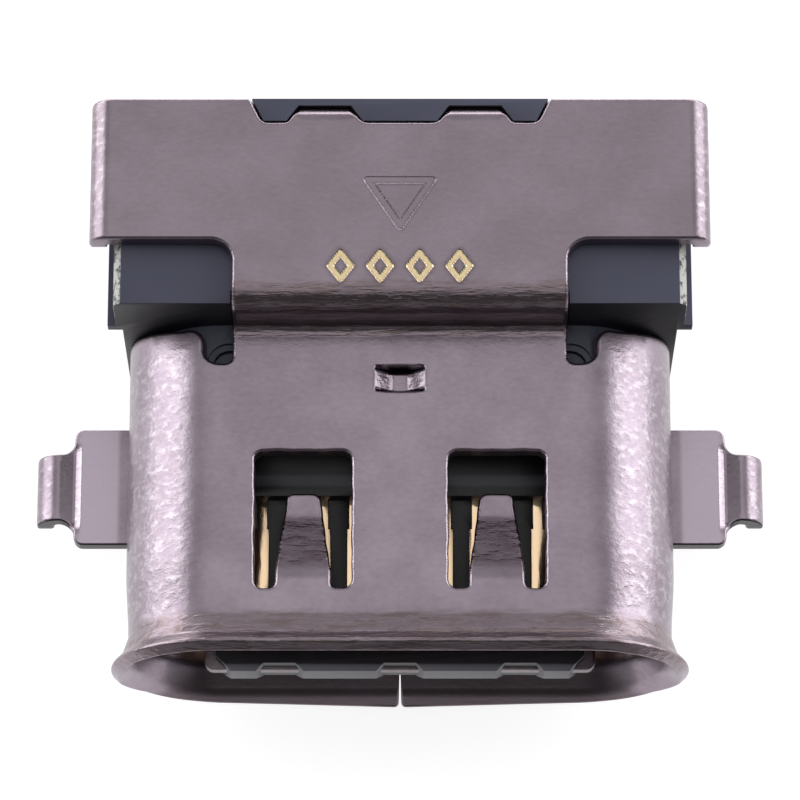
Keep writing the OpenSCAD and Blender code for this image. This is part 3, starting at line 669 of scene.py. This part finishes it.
one_side = [
    # The cover's fold, a leg's end, root and groove, and a tab's end
    (COVER_FLAT - 0.04, COVER_S, 7.5, COVER_REAR, 0.04, 0.12),
    (leg_end, leg_end + 0.55, *leg_v, 0.04, 0.08), (ROOT - 0.16, ROOT + 0.08, *leg_v, 0.035, 0.08),
    (groove - 0.2, groove + 0.2, *leg_v, 0.0325, 0.06),
    (TAB_X - TAB_HALF - 0.1, TAB_X + TAB_HALF + 0.1, cut + TAB_L - DROOP_L, cut + TAB_L, 0.06, 0.02),
]
for m in finger_middles():
    for bend in (finger_root, knee):
        one_side += [(m - 0.45, m + 0.45, bend - 0.02, bend + bend_run + 0.02, 0.08, 0.03)]
boxes += [(-s1, -s0, *rest) for s0, s1, *rest in one_side] + one_side
free_points, free_gaps = field(boxes)
print("inner points:", len(free_points))

# %% [markdown]
# ## Sheared edges
# A punch rounds the edge where it enters, shears a straight band, and leaves the far edge crisp. A bevel
# modifier would treat both edges alike, so rows of vertices are laid along each outline instead. The sheet
# is then folded at once, and stands for the packed shell.

# %% Triangles for the flat faces
NEAR = 0.55  # how far inner points keep off the outline, as a share of their spacing


def around(lines):
    """Pairs of neighbouring point numbers, all round each line."""
    pairs, start = [], 0
    for line in lines:
        pairs += [(start + i, start + (i + 1) % len(line)) for i in range(len(line))]
        start += len(line)
    return pairs


def filled(lines, free_points, free_gaps):
    """Points and triangles of the flat face between lines."""
    line_points = np.concatenate(lines)
    tree = kdtree.KDTree(len(line_points))
    for i, p in enumerate(line_points):
        tree.insert((p[0], p[1], 0), i)
    tree.balance()
    clear = np.array([tree.find((p[0], p[1], 0))[2] for p in free_points]) > NEAR * free_gaps
    free_points = free_points[clear]
    points = np.concatenate([line_points, free_points[inside(free_points, lines)]])
    edges = around(lines)
    verts, _, faces, origins, _, _ = delaunay_2d_cdt([Vector(p) for p in points], edges, [], 0, 1e-7, True)
    middle = np.array([[sum(verts[i][k] for i in f) / 3 for k in (0, 1)] for f in faces])
    faces = [f for f, ok in zip(faces, inside(middle, lines)) if ok]
    print("triangles in a face of the blank:", len(faces), "extra points:", len(verts) - len(points))
    return points, np.array([[origins[i][0] for i in f] for f in faces])


print("round a triangle:", around([range(3)]))

# %% Rows of vertices on the cut edges
ROUND, CRISP = 0.065, 0.040  # radii of the edge where the punch enters, and of the other


def edge_rows():
    """Each row's inset, its height w, and its normal's outward and upward parts."""
    soft = [(ROUND * (1 - math.sin(b)), HALF - ROUND * (1 - math.cos(b)), math.sin(b), math.cos(b))
            for b in np.radians((22.5, 45, 67.5, 90))]
    crisp = [(CRISP * (1 - math.sin(b)), CRISP * (1 - math.cos(b)) - HALF, math.sin(b), -math.cos(b))
             for b in np.radians((90, 45, 0))]
    return soft + crisp


def surface_normals(s, v, w, part, away, tilt_out, tilt_up, hair=0.004):
    """Directions along the folded surface, tilted towards the cut edge."""
    ds = unit(fold(s + hair, v, w, part) - fold(s - hair, v, w, part))
    dv = unit(fold(s, v + hair, w, part) - fold(s, v - hair, w, part))
    face = unit(np.cross(ds, dv))
    return unit(tilt_out[:, None] * (away[:, :1] * ds + away[:, 1:] * dv) + tilt_up[:, None] * face)


print("rows on a cut edge:", len(edge_rows()))

# %% Make the sheet
READ_IN = 0.02


def punched_sheet(outer, holes, free_points, free_gaps):
    lines = [outer if signed_area(outer) > 0 else outer[::-1]]
    lines += [h if signed_area(h) < 0 else h[::-1] for h in holes]
    ins = [inward(line) for line in lines]
    points, faces = filled([line + ROUND * n for line, n in zip(lines, ins)], free_points, free_gaps)
    rim_points, rim_ins = np.concatenate(lines), np.concatenate(ins)
    n_rim, n_all, rows = len(rim_points), len(points), edge_rows()

    # Layers of vertices: the upper face, the rows of the cut edges, and the lower face.
    plane = np.concatenate([points] + [rim_points + row[0] * rim_ins for row in rows] + [points])
    layers = np.array([(HALF, 0, 1)] + [row[1:] for row in rows] + [(-HALF, 0, -1)])
    counts = [n_all] + [n_rim] * len(rows) + [n_all]
    height, tilt_out, tilt_up = np.repeat(layers, counts, axis=0).T
    flat = np.zeros((n_all, 2))
    away = np.concatenate([flat] + [-unit(rim_ins)] * len(rows) + [flat])

    # The part is read a little way in, so that a whole edge folds with its own part.
    part_face = part_of(*points.T)
    part_rim = part_of(*(rim_points + READ_IN * rim_ins).T)
    part_face[:n_rim] = part_rim
    part = np.concatenate([part_face] + [part_rim] * len(rows) + [part_face])

    starts = np.cumsum([0] + counts[:-1])
    quads = [(up + a, down + a, down + b, up + b)
             for up, down in zip(starts, starts[1:]) for a, b in around(lines)]
    s, v = plane.T
    normals = surface_normals(s, v, height, part, away, tilt_out, tilt_up)
    return fold(s, v, height, part) * MM, [*faces, *quads, *(faces[:, ::-1] + starts[-1])], normals


def mesh_piece(name, points, faces, normals=None):
    mesh = bpy.data.meshes.new(name)
    mesh.from_pydata([tuple(p) for p in points], [], [tuple(int(i) for i in f) for f in faces])
    mesh.shade_smooth()
    if normals is not None:
        mesh.normals_split_custom_set_from_vertices([tuple(n) for n in normals])
    piece = bpy.data.objects.new(name, mesh)
    scene.collection.objects.link(piece)
    return piece


shell = mesh_piece("folded_shell", *punched_sheet(blank_outline, holes, free_points, free_gaps))
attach(shell, "root")
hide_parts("shell")
size = np.array([v.co for v in shell.data.vertices]) / MM
print("shell:", len(shell.data.vertices), "vertices,", len(shell.data.polygons), "faces")
print("shell reaches:", size.min(0).round(3), size.max(0).round(3))

# %% [markdown]
# ## Shader maths
# A finish is a sum of small patterns. The class below wraps a socket, so that a mask or a mixture is written
# as plain arithmetic, and every node that is not arithmetic comes from one method.

# %% Sockets that can be added and multiplied
class Wire:
    """A varying value in a node tree. Operators add Math nodes."""

    def __init__(self, board, socket):
        self.board, self.socket = board, socket

    def math(self, operation, *others, swap=False):
        terms = [self, *others]
        if swap:
            terms.reverse()
        return self.board.node("ShaderNodeMath", {"operation": operation}, dict(enumerate(terms)))

    def __add__(self, other): return self.math("ADD", other)
    def __radd__(self, other): return self.math("ADD", other)
    def __sub__(self, other): return self.math("SUBTRACT", other)
    def __rsub__(self, other): return self.math("SUBTRACT", other, swap=True)
    def __mul__(self, other): return self.math("MULTIPLY", other)
    def __rmul__(self, other): return self.math("MULTIPLY", other)
    def __truediv__(self, other): return self.math("DIVIDE", other)

    def size(self): return self.math("ABSOLUTE")
    def lowest(self, other): return self.math("MINIMUM", other)
    def highest(self, other): return self.math("MAXIMUM", other)

    def ramp(self, lo, hi):
        """0 at lo, 1 at hi, smooth between."""
        inputs = {"Value": self, "From Min": lo, "From Max": hi}
        return self.board.node("ShaderNodeMapRange", {"interpolation_type": "SMOOTHSTEP"}, inputs)


print("a wire has + - * / and", [name for name in vars(Wire) if name[0] != "_"])

# %% A board of nodes
class Board:
    """A node tree, with one method that adds any node and returns one of its outputs."""

    def __init__(self, tree):
        self.tree = tree

    def node(self, kind, settings=None, inputs=None, output=0):
        made = self.tree.nodes.new(kind)
        for key, value in (settings or {}).items():
            setattr(made, key, value)
        for key, value in (inputs or {}).items():
            self.feed(made.inputs[key], value)
        return Wire(self, made.outputs[output])

    def feed(self, socket, value):
        if isinstance(value, Wire):
            self.tree.links.new(value.socket, socket)
        else:
            socket.default_value = (*value, 1) if socket.type == "RGBA" and len(value) == 3 else value

    def mix(self, a, b, share):
        """A colour between two colours."""
        settings = {"data_type": "RGBA", "clamp_factor": True}
        return self.node("ShaderNodeMix", settings, {0: share, 6: a, 7: b}, output=2)

    def scaled(self, vector, factors):
        return self.node("ShaderNodeVectorMath", {"operation": "MULTIPLY"}, {0: vector, 1: factors})

    def parts(self, vector):
        return [self.node("ShaderNodeSeparateXYZ", None, {0: vector}, output=i) for i in range(3)]

    def noise(self, place, per_mm, detail=3, rough=0.6):
        """Noise with so many waves per millimetre: one number, or one for each axis."""
        place = self.scaled(place, per_mm if isinstance(per_mm, tuple) else (per_mm,) * 3)
        return self.node("ShaderNodeTexNoise", None,
                         {"Vector": place, "Scale": 1.0, "Detail": detail, "Roughness": rough})


def srgb(code):
    """Linear colour from a hex code."""
    parts = [int(code[i:i + 2], 16) / 255 for i in (0, 2, 4)]
    return tuple(c / 12.92 if c <= 0.04045 else ((c + 0.055) / 1.055) ** 2.4 for c in parts)


print("middle grey, 808080, is", round(srgb("808080")[0], 3), "to a shader")

# %% A finish
class Finish(Board):
    """A material fed by patterns in the object's own millimetres. Details change its color and relief."""

    def __init__(self, name, **constants):
        self.material = bpy.data.materials.new(name)
        self.material.use_nodes = True
        super().__init__(self.material.node_tree)
        self.shader = self.tree.nodes["Principled BSDF"]
        self.set(**constants)
        where = self.node("ShaderNodeTexCoord", None, None, output="Object")
        self.mm = self.scaled(where, (1 / MM,) * 3)

    def set(self, **inputs):
        for key, value in inputs.items():
            self.feed(self.shader.inputs[key.replace("_", " ").title().replace("Ior", "IOR")], value)

    def facing(self):
        """The direction that the surface faces, as x, y and z."""
        return self.parts(self.node("ShaderNodeNewGeometry", None, None, output="Normal"))

    def tint(self, code, share):
        self.color = self.mix(self.color, srgb(code), share)

    def lay(self, depth_mm):
        """Gives the shader the color, and the relief, whose height from 0 to 1 is so many millimetres."""
        inputs = {"Strength": 1.0, "Distance": depth_mm * MM, "Height": self.relief}
        self.set(base_color=self.color, normal=self.node("ShaderNodeBump", None, inputs))


print("patterns are counted in units of", MM, "m")

# %% [markdown]
# ## Steel of the shell
# The shell is thin steel under a faintly violet plating, and the plate in the tongue is darker. An image of
# metal would blur up close. Noise of three sizes gives the clouds and the grain, and each small function
# below adds one thing that the press or the wear has done, or paints light and shade on the metal.

# %% Plain steel
def steel_finish(name, light, dark, rough):
    f = Finish(name, metallic=1.0)
    clouds = f.noise(f.mm, 0.9, rough=0.55)
    specks = f.noise(f.mm, (8, 12, 12))
    fine = f.noise(f.mm, 30, detail=2, rough=0.5)
    tone = clouds.ramp(0.3, 0.75) * 0.55 + specks.ramp(0.3, 0.7) * 0.25 + fine * 0.2
    f.color = f.mix(srgb(dark), srgb(light), tone)
    f.relief = specks * 0.55 + fine * 0.25
    f.set(roughness=rough + 0.08 * fine + 0.05 * clouds)
    return f


def plating_and_painted_light(f):
    """The cover is duller; the legs' flats get painted light, and their cut faces painted shade."""
    x, _, z = f.parts(f.mm)
    cover_z, above_leg = (1.9, 2.2), (-0.95, -0.85)
    leg_from, leg_to, side_from = (4.64, 4.74), (5.3, 5.45), (4.3, 4.4)
    f.tint("83757d", z.ramp(*cover_z) * 0.35)
    low = 1 - z.ramp(*above_leg)
    # Painted light on the legs' flats away from the tube; nearer the root they stay in painted shade.
    leg = x.size().ramp(*leg_from) * (1 - x.size().ramp(*leg_to)) * low
    f.tint("b9adb9", leg)
    # Painted shade on the legs' cut faces, which face front and back.
    painted_cut_shade = f.facing()[1].size().ramp(0.45, 0.75) * x.size().ramp(*side_from) * low
    f.tint("241f21", painted_cut_shade)


def orange_peel(f):
    """Tightly rolled sheet shows its grain as relief, painted glints and painted shade in its pits."""
    y = f.parts(f.mm)[1]
    behind_lip, tube_end, calm_band = (0.5, 0.9), 5.45, (0.1, 0.35)
    along_tube = y.ramp(*behind_lip) * (y - tube_end).size().ramp(*calm_band)
    bent = f.facing()[0].size().ramp(0.22, 0.5) * along_tube
    peel = f.noise(f.mm, (5.5, 9, 7), rough=0.62)
    f.relief = f.relief + peel.ramp(0.22, 0.78) * bent * 1.25
    # Painted shade in the grain's pits and painted highlights, glints, on its peaks.
    painted_pits, painted_glints = 1 - peel.ramp(0.3, 0.5), peel.ramp(0.48, 0.72)
    f.tint("6f646d", bent * painted_pits * 0.18)
    f.tint("d6d0d6", bent * painted_glints * 0.4)


plate = steel_finish("plate_steel", "90878c", "635a5e", rough=0.3)
PLATE_RELIEF = 0.0042
plate.lay(PLATE_RELIEF)
print("plain steel:", len(plate.tree.nodes), "nodes")

# %% Marks of the press, and painted shade
def stretch_marks_and_painted_shade(f):
    """Where a finger was drawn down, the metal tore into fine waves across the pull.
    The whole slope gets painted shade.
    """
    x, y, z = f.parts(f.mm)
    finger_side, slope_from, slope_to = (0.42, 0.5), (1.25, 1.6), (2.25, 2.5)
    tube_z, tongue_z = (1.48, 1.54), (0.8, 0.9)
    across = 1 - (x.size() - WINDOW_X).size().ramp(*finger_side)
    slope = across * y.ramp(*slope_from) * (1 - y.ramp(*slope_to))
    slope = slope * (1 - z.size().ramp(*tube_z)) * z.size().ramp(*tongue_z)
    waves = f.noise(f.mm, (2.6, 8, 0)).ramp(0.3, 0.7)
    f.relief = f.relief + waves * slope * 2.6
    # Painted shade darkens the whole slope; the extra darkness in the waves is the torn metal's own tone.
    f.tint("6d6068", slope * (0.6 + 0.4 * waves))


def drawn_creases(f):
    """The flared lip and the step up to the cover carry dents and brown drawing marks along their bends."""
    x, y, z = f.parts(f.mm)
    step_from, step_to, strip_side = (5.34, 5.42), (5.88, 6.0), (2.72, 2.8)
    lip_to, lip_z, low_lip_to, low_lip_z = (0.62, 0.78), (0.2, 0.7), (0.55, 0.9), (-1.25, -1.0)
    step_up = y.ramp(*step_from) * (1 - y.ramp(*step_to)) * (1 - x.size().ramp(*strip_side))
    lip = (1 - y.ramp(*lip_to)) * z.ramp(*lip_z)
    place = (lip + step_up).lowest(1)
    dents = f.noise(f.mm, (1.5, 10, 8)).ramp(0.4, 0.66)
    f.relief = f.relief + dents * place * 1.3
    f.tint("7f706f", place * (0.3 + 0.5 * dents))
    # Inside, the lower lip is darker.
    below = (1 - y.ramp(*low_lip_to)) * (1 - z.ramp(*low_lip_z))
    f.tint("62585b", below * 0.8)


def gold_rings(f):
    """The stamped rings are filled with gold lacquer; the steel beside them gets painted shade."""
    x, y, z = f.parts(f.mm)
    # Distance from the rhombus's side, in the quarter of the nearest ring
    near = ((x / RING_PITCH).math("FRACT") - 0.5).size() * RING_PITCH
    up = (y - RING_Y).size()
    run = RING_HALF_W ** 2 + RING_HALF_L ** 2
    share = (((near - RING_HALF_W) * -RING_HALF_W + up * RING_HALF_L) / run).highest(0).lowest(1)
    dx = near - RING_HALF_W + share * RING_HALF_W
    dy = up - share * RING_HALF_L
    off = (dx * dx + dy * dy).math("SQRT")
    on_cover = z.ramp(CROWN_TOP + 0.05, CROWN_TOP + 0.1)
    on_row = (1 - x.size().ramp(2 * RING_PITCH - 0.01, 2 * RING_PITCH)) * on_cover
    painted_ring_shade = 1 - off.ramp(RING_LINE * 1.2, RING_LINE * 3.2)
    line = 1 - off.ramp(RING_LINE * 0.9, RING_LINE * 1.25)
    # Painted shade round each stamped line.
    f.tint("5d5054", painted_ring_shade * on_row * 0.35)
    f.tint("efd9ad", line * on_row)


steel = steel_finish("shell_steel", "a89ca7", "8d808b", rough=0.23)
for add_detail in (plating_and_painted_light, orange_peel, stretch_marks_and_painted_shade, drawn_creases, gold_rings):
    add_detail(steel)
SHELL_RELIEF = 0.0045
steel.lay(SHELL_RELIEF)
shell.data.materials.append(steel.material)
print("steel of the shell:", len(steel.tree.nodes), "nodes")

# %% [markdown]
# ## Plastic
# Housing, tongue and carriers are black plastic with glass fibres, which make it satin rather than glossy.
# Each could have a tree of its own. One function with a few numbers keeps them related. Fine noise does the
# fibres, and a mask from the direction of a face paints a pale sheen on what looks up, as painted light.

# %% Plain plastic
def plastic_finish(name, light, dark, rough=0.42, shine=0.5, painted_top_sheen=None):
    f = Finish(name, specular_ior_level=shine)
    clouds = f.noise(f.mm, 1.3, rough=0.5)
    specks = f.noise(f.mm, 20)
    f.color = f.mix(srgb(dark), srgb(light), clouds.ramp(0.3, 0.7) * 0.6 + specks * 0.4)
    if painted_top_sheen:
        # A painted sheen makes the faces that look up paler.
        f.tint(painted_top_sheen, f.facing()[2].ramp(0.4, 0.95) * (0.75 + 0.25 * clouds))
    f.relief = specks * 0.7 + clouds * 0.3
    f.set(roughness=rough + 0.14 * specks)
    return f


PLASTIC_RELIEF = 0.0015
carrier_plastic = plastic_finish("carrier_plastic", "2f3036", "24252a")
carrier_plastic.lay(PLASTIC_RELIEF)
print("plain plastic:", len(carrier_plastic.tree.nodes), "nodes")

# %% Plastic with painted highlights
def painted_front_highlight(f):
    """The tongue's front edge, and its step, get a painted highlight in a paler grey."""
    front, step_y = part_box("tongue")[0][1] / MM, 3.2
    y = f.parts(f.mm)[1]
    on_step = 0.45 * (1 - (y - step_y).size().ramp(0.04, 0.12))
    painted_highlight = (1 - y.ramp(front + 0.03, front + 0.11)).highest(on_step)
    # Painted highlight on the tongue's front edge and on its step.
    f.tint("686570", painted_highlight)


def painted_chamfer_glint(f):
    """The slanted edges beside the cover get a painted highlight, a pale, broken line."""
    x, _, z = f.parts(f.mm)
    sideways = f.facing()[0].size()
    slanted = sideways.ramp(0.35, 0.5) * (1 - sideways.ramp(0.85, 0.95))
    corner_from, corner_z = (4.5, 4.55), (1.6, 1.7)
    beside_cover = x.size().ramp(*corner_from) * z.ramp(*corner_z)
    worn = f.noise(f.mm, (9, 6, 9)).ramp(0.36, 0.52)
    # A painted highlight along the slanted edges, broken up by noise.
    f.tint("dcdbd6", slanted * beside_cover * worn)


# The housing's tops get a painted sheen.
housing_plastic = plastic_finish("housing_plastic", "26272f", "1b1c22", shine=0.6, painted_top_sheen="4a4b62")
# The housing's slanted edges get a painted highlight.
painted_chamfer_glint(housing_plastic)
housing_plastic.lay(PLASTIC_RELIEF)
tongue_plastic = plastic_finish("tongue_plastic", "1a1a20", "121217", rough=0.34)
# The tongue gets a painted highlight at its front edge and step.
painted_front_highlight(tongue_plastic)
tongue_plastic.lay(PLASTIC_RELIEF)
print("worn plastic:", len(housing_plastic.tree.nodes), "and", len(tongue_plastic.tree.nodes), "nodes")

# %% [markdown]
# ## Gold contacts
# The contacts are cut from rolled strip and plated with gold, so that fine lines run along them. The
# shader's anisotropy could stretch their highlights, but an export may drop it. Lines in the roughness stay.

# %% Gold contacts
GOLD_RELIEF = 0.0008
gold = Finish("contact_gold", metallic=1.0)
gold.color = gold.mix(srgb("ffd7ac"), srgb("ffe6c4"), gold.noise(gold.mm, 2.5, rough=0.5))
gold.relief = gold.noise(gold.mm, (60, 5, 60), detail=2, rough=0.5)
gold.set(roughness=0.08 + 0.10 * gold.relief)
gold.lay(GOLD_RELIEF)
print("gold:", len(gold.tree.nodes), "nodes")

# %% [markdown]
# ## Moulded and stamped pieces with worn edges
# The plastic, the plate and the contacts are right as the CAD has them, but no real edge is a knife. The
# shader could round edges, but not in an export. So each piece gets a copy whose flat triangles are joined
# to whole faces, with a small bevel on every edge.

# %% Worn copies
SAME_POINT, FLAT_ANGLE, BEVEL_ANGLE = 1e-7, math.radians(1), math.radians(30)


def worn_copy(name, node_name, width, finish):
    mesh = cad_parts[node_name].data.copy()
    shape = bmesh.new()
    shape.from_mesh(mesh)
    bmesh.ops.remove_doubles(shape, verts=shape.verts, dist=SAME_POINT)
    bmesh.ops.dissolve_limit(shape, angle_limit=FLAT_ANGLE, verts=shape.verts, edges=shape.edges)
    shape.to_mesh(mesh)
    shape.free()
    mesh.shade_smooth()
    mesh.materials.clear()
    mesh.materials.append(finish.material)
    piece = bpy.data.objects.new(name, mesh)
    scene.collection.objects.link(piece)
    bevel = piece.modifiers.new("worn", "BEVEL")
    bevel.width, bevel.segments, bevel.limit_method = width * MM, 2, "ANGLE"
    bevel.angle_limit = BEVEL_ANGLE
    bevel.harden_normals = True
    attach(piece, "root")
    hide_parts(node_name)
    return piece


worn = [
    worn_copy("moulded_housing", "housing", 0.03, housing_plastic),
    worn_copy("moulded_tongue", "tongue", 0.02, tongue_plastic),
    worn_copy("stamped_plate", "mid_plate", 0.015, plate),
]
for row in "ab":
    for i in range(1, 13):
        worn.append(worn_copy(f"gold_contact_{row}{i}", f"contact_{row}{i}", 0.014, gold))
for name in ("upper_carrier", "lower_carrier"):
    worn.append(worn_copy(f"moulded_{name}", name, 0.03, carrier_plastic))
print("worn copies:", len(worn), "with", sum(len(p.data.polygons) for p in worn), "flat faces")

# %% [markdown]
# ## Table
# The part lies on a white table. A large one would throw so much light up that the metal would lose its
# shape. This one is small and grey to the light, and its glow is seen only by the camera and in reflections,
# so that it looks white and still holds the part's shadow.

# %% Small white table
TABLE_FRONT, TABLE_BACK, TABLE_SIDE, TABLE_GAP = -7, 30, 24, 0.02
TABLE_GREY, TABLE_GLOW = 0.5, 0.82
table_z = cad_box[0][2] - TABLE_GAP * MM
edges = ((-1, TABLE_FRONT), (1, TABLE_FRONT), (1, TABLE_BACK), (-1, TABLE_BACK))
corners = [(x * TABLE_SIDE * MM, y * MM, table_z) for x, y in edges]
table = mesh_piece("table", corners, [(0, 1, 2, 3)])
table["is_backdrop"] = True
table_white = Finish("table_white", roughness=1.0, specular_ior_level=0.0, base_color=(TABLE_GREY,) * 3,
                     emission_strength=1.0)
direct, glossy, through = (table_white.node("ShaderNodeLightPath", None, None, output=f"Is {ray} Ray")
                           for ray in ("Camera", "Glossy", "Transmission"))
glow = table_white.mix((0, 0, 0), (TABLE_GLOW,) * 3, direct.highest(glossy).highest(through))
table_white.set(emission_color=glow)
table.data.materials.append(table_white.material)
print("table of", 2 * TABLE_SIDE, "by", TABLE_BACK - TABLE_FRONT, "mm at z", round(table_z / MM, 2))

# %% [markdown]
# ## Light
# Metal shows what stands around it. The studio could be built from area lamps. Painted on the world by
# direction, it needs no distances: a soft ceiling, a tall box on each side, weak fills, and a low backdrop
# for the steep faces behind.

# %% World
world = bpy.data.worlds.new("studio")
world.use_nodes = True
studio = Board(world.node_tree)
dx, dy, dz = studio.parts(studio.node("ShaderNodeTexCoord", None, None, output="Generated"))
rise = dz.math("ARCSINE") * (180 / math.pi)
forward = 0 - dy


def band(start, full, fading, gone):
    """1 between two heights in degrees, with soft ends."""
    return rise.ramp(start, full) * (1 - rise.ramp(fading, gone))


ROOM, CEILING, CEILING_DIP = 0.08, 0.85, 0.30
BOX, FILL, REAR_FILL, FRONT_FILL = 2.7, 0.2, 0.46, 0.26
BACKDROP, BACKDROP_FOOT = 0.9, 3.4
sideways, behind = dx.size().ramp(0.52, 0.70), dy.ramp(-0.05, 0.15)
ceiling = rise.ramp(50, 68) * (CEILING - CEILING_DIP * forward.ramp(0.02, 0.32))
side_boxes = sideways * behind * band(-14, -3, 34, 54) * BOX
side_fill = sideways * (1 - behind) * band(-16, -6, 30, 50) * FILL
rear_fill = dy.ramp(0.1, 0.6) * band(10, 28, 50, 64) * REAR_FILL
front_fill = forward.ramp(0.5, 0.8) * band(-14, -8, 8, 18) * FRONT_FILL
low_glow = BACKDROP * (1 - rise.ramp(17, 28)) + BACKDROP_FOOT * (1 - rise.ramp(6, 14))
backdrop = dy.ramp(0.7, 0.9) * rise.ramp(-16, -8) * low_glow
sky = ROOM + ceiling + side_boxes + side_fill + rear_fill + backdrop + front_fill
print("the boxes glow at", BOX, "and the backdrop's foot at", BACKDROP + BACKDROP_FOOT)

# %% White for the camera, and the studio for the part
seen = studio.node("ShaderNodeLightPath", None, None, output="Is Camera Ray")
background = world.node_tree.nodes["Background"]
studio.feed(background.inputs["Color"], (1, 1, 1))
studio.feed(background.inputs["Strength"], seen + (1 - seen) * sky)
scene.world = world
print("studio:", len(world.node_tree.nodes), "nodes")

# %% [markdown]
# ## The part's box
# The part's box before and after dressing is compared, and the largest change is printed, so that any growth
# shows.

# %% Finish
grown = max(abs(a - b) for before, now in zip(cad_box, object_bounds()) for a, b in zip(before, now))
print("the part's box has moved by", round(grown / MM, 3), "mm at most")
